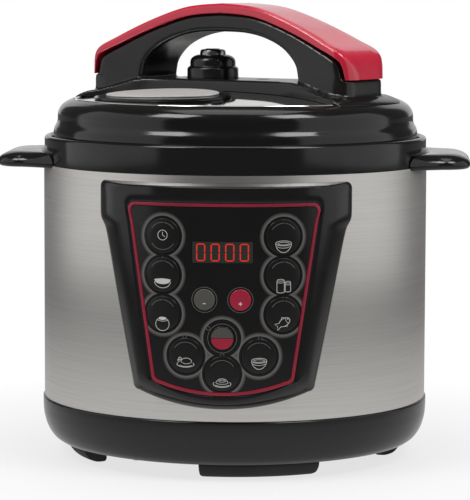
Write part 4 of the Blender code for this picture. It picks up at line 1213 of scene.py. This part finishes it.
def make_seal():
    ring = [
        (0.1065, 0.2250), (0.1192, 0.2250), (0.1192, 0.2360), (0.1174, 0.2360), (0.1174, 0.2280),
        (0.1088, 0.2280), (0.1088, 0.2340), (0.1065, 0.2340),
    ]
    turned_skin("sealing_ring", "lid_seal", "silicone", ring, 0.0008, SILICONE)
    holder = [
        (0.1093, 0.2284), (0.1169, 0.2284), (0.1169, 0.2300), (0.1110, 0.2300), (0.1110, 0.2575),
        (0.1093, 0.2575),
    ]
    turned_skin("seal_ring_holder", "lid", "polished_steel", holder, 0.0005, FASTENER, lid=True)


KEPT = {
    "anti_block_shield": FASTENER,
    "power_inlet": SATIN,
    "pressure_switch": SATIN,
    "condensate_bracket": GLOSS,
    "condensate_cup": CUP,
    "power_board": BOARD,
    "control_board": BOARD,
    "sensor_spring": FASTENER,
}


def finish_kept_nodes():
    for node, material in KEPT.items():
        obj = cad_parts[node]
        obj.data.materials.clear()
        obj.data.materials.append(material)
        if node == "sensor_spring":
            continue
        edge = obj.modifiers.new("soft_edge", "BEVEL")
        edge.width = 0.0003
        edge.segments = 2
        edge.limit_method = "ANGLE"
        edge.angle_limit = radians(40)


def make_screws():
    """Pan heads with a cross recess, each in place of its CAD screw."""
    screws = [f"bottom_screw_{k}" for k in range(1, 5)]
    screws += ["side_handle_left_screw", "side_handle_right_screw", "handle_screw_1", "handle_screw_2"]
    for node in screws:
        low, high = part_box(node)
        size = high - low
        middle = (low + high) / 2
        axis = max(range(3), key=lambda i: size[i])
        head = sorted(size)[0] / 2
        length = size[axis]
        screw = turned(
            node + "_skin",
            rounded([(0, 0), (head, 0), (head, 0.0014), (head * 0.75, 0.0021), (0, 0.0022)][::-1], 0.0005),
            FASTENER,
            segments=48,
        )
        shank = [(0, 0.0008), (0.0015, 0.0008), (0.0015, -length + 0.0026), (0, -length + 0.0022)]
        cut(screw, turned("shank", shank, None, segments=32), "UNION")
        for turn in (0, pi / 2):
            slot = box("slot", (-head * 0.55, -0.00035, 0.0010), (head * 0.55, 0.00035, 0.0030))
            slot.data.transform(Matrix.Rotation(turn, 4, "Z"))
            cut(screw, slot)
        if node.startswith("bottom") or node.startswith("handle"):
            place = Matrix.Translation((middle.x, middle.y, low.z + 0.0022)) @ Matrix.Rotation(pi, 4, "X")
        else:
            side = 1 if middle.x > 0 else -1
            outward = high.x if side > 0 else low.x
            place = Matrix.Translation((outward - side * 0.0022, middle.y, middle.z))
            place = place @ Matrix.Rotation(side * pi / 2, 4, "Y")
        screw.data.transform(place)
        body = "lid" if node.startswith("handle") else "root"
        stand_for(screw, body, "fastener_steel", node)


# The studio

# How bright the floor looks in reflections, near the object and far from it
NEAR_GLOW = 0.62
FAR_GLOW = 0.14


def make_floor():
    """A pale floor, lit near the object and fading into an even white further out."""
    bm = bmesh.new()
    bmesh.ops.create_circle(bm, cap_ends=True, radius=80.0, segments=96)
    floor = finish("floor", bm, None)
    material, tree, shader = new_material("floor", (0.86, 0.86, 0.86), 0.55)
    output = tree.nodes["Material Output"]
    glow = add(tree, "ShaderNodeEmission", Color=(1, 1, 1, 1))
    path = add(tree, "ShaderNodeLightPath")
    mix = add(tree, "ShaderNodeMixShader")
    place = add(tree, "ShaderNodeTexCoord")
    reach = math_node(tree, "VectorMath", "LENGTH", place.outputs["Object"])
    unseen = ranged(tree, reach.outputs["Value"], NEAR_GLOW, FAR_GLOW, 0.17, 0.85)
    seen = math_node(tree, "Math", "MAXIMUM", path.outputs["Is Camera Ray"], unseen)
    tree.links.new(seen.outputs[0], glow.inputs["Strength"])
    tree.links.new(ranged(tree, reach.outputs["Value"], 0.74, 1.0, 0.16, 0.40), mix.inputs["Fac"])
    tree.links.new(shader.outputs[0], mix.inputs[1])
    tree.links.new(glow.outputs[0], mix.inputs[2])
    tree.links.new(mix.outputs[0], output.inputs["Surface"])
    floor.data.materials.append(material)


def softbox(name, azimuth, height, distance, size, power, aim=None):
    """A rectangular lamp aimed at the axis; azimuth 0 is in front of the panel and grows towards +X."""
    lamp = bpy.data.lights.new(name, "AREA")
    lamp.shape = "RECTANGLE"
    lamp.size, lamp.size_y = size
    lamp.energy = power
    obj = bpy.data.objects.new(name, lamp)
    bpy.context.scene.collection.objects.link(obj)
    angle = radians(azimuth)
    obj.location = (distance * sin(angle), -distance * cos(angle), height)
    target = Vector((0, 0, height if aim is None else aim))
    obj.rotation_euler = (target - obj.location).to_track_quat("-Z", "Y").to_euler()
    obj.visible_camera = False
    return obj


def make_lights():
    world = bpy.data.worlds.new("studio")
    bpy.context.scene.world = world
    world.use_nodes = True
    tree = world.node_tree
    background = tree.nodes["Background"]
    background.inputs["Color"].default_value = (1, 1, 1, 1)
    background.inputs["Strength"].default_value = 0.075
    bright = add(tree, "ShaderNodeBackground", Color=(1, 1, 1, 1), Strength=1.0)
    path = add(tree, "ShaderNodeLightPath")
    mix = add(tree, "ShaderNodeMixShader")
    tree.links.new(path.outputs["Is Camera Ray"], mix.inputs["Fac"])
    tree.links.new(background.outputs[0], mix.inputs[1])
    tree.links.new(bright.outputs[0], mix.inputs[2])
    tree.links.new(mix.outputs[0], tree.nodes["World Output"].inputs["Surface"])
    softbox("left_softbox", -78, 0.80, 1.5, (2.2, 1.6), 7.2)
    softbox("right_softbox", 79, 0.80, 1.5, (2.2, 1.6), 7.2)
    softbox("top_softbox", 0, 2.0, 0.0, (1.3, 1.3), 9.0, 0.0)
    softbox("front_left_softbox", -48, 1.9, 1.4, (0.8, 0.8), 17.0, 0.15)
    softbox("front_right_softbox", 50, 1.9, 1.4, (0.8, 0.8), 17.0, 0.15)
    softbox("back_softbox", 180, 0.9, 2.2, (2.4, 1.4), 7.0)


def make_camera():
    azimuth, tilt, roll = radians(3.3), radians(5.787), radians(0.2)
    distance, height = 2.014, 0.3529
    camera = bpy.data.cameras.new("camera")
    camera.lens = 197.9
    camera.sensor_width = 36.0
    camera.clip_end = 300.0
    obj = bpy.data.objects.new("camera", camera)
    bpy.context.scene.collection.objects.link(obj)
    turn = Matrix.Rotation(azimuth, 4, "Z") @ Matrix.Rotation(pi / 2 - tilt, 4, "X")
    turn = turn @ Matrix.Rotation(roll, 4, "Z")
    place = Matrix.Translation((distance * sin(azimuth), -distance * cos(azimuth), height))
    obj.matrix_world = place @ turn
    bpy.context.scene.camera = obj


make_camera()
make_base()
make_feet()
make_body()
make_side_handles()
make_pots()
make_heater()
make_bezel()
make_face()
make_keys()
make_digits()
make_lid()
make_handle()
make_badge()
make_valves()
make_seal()
make_screws()
finish_kept_nodes()
make_floor()
make_lights()
bpy.context.scene.view_settings.view_transform = "Standard"
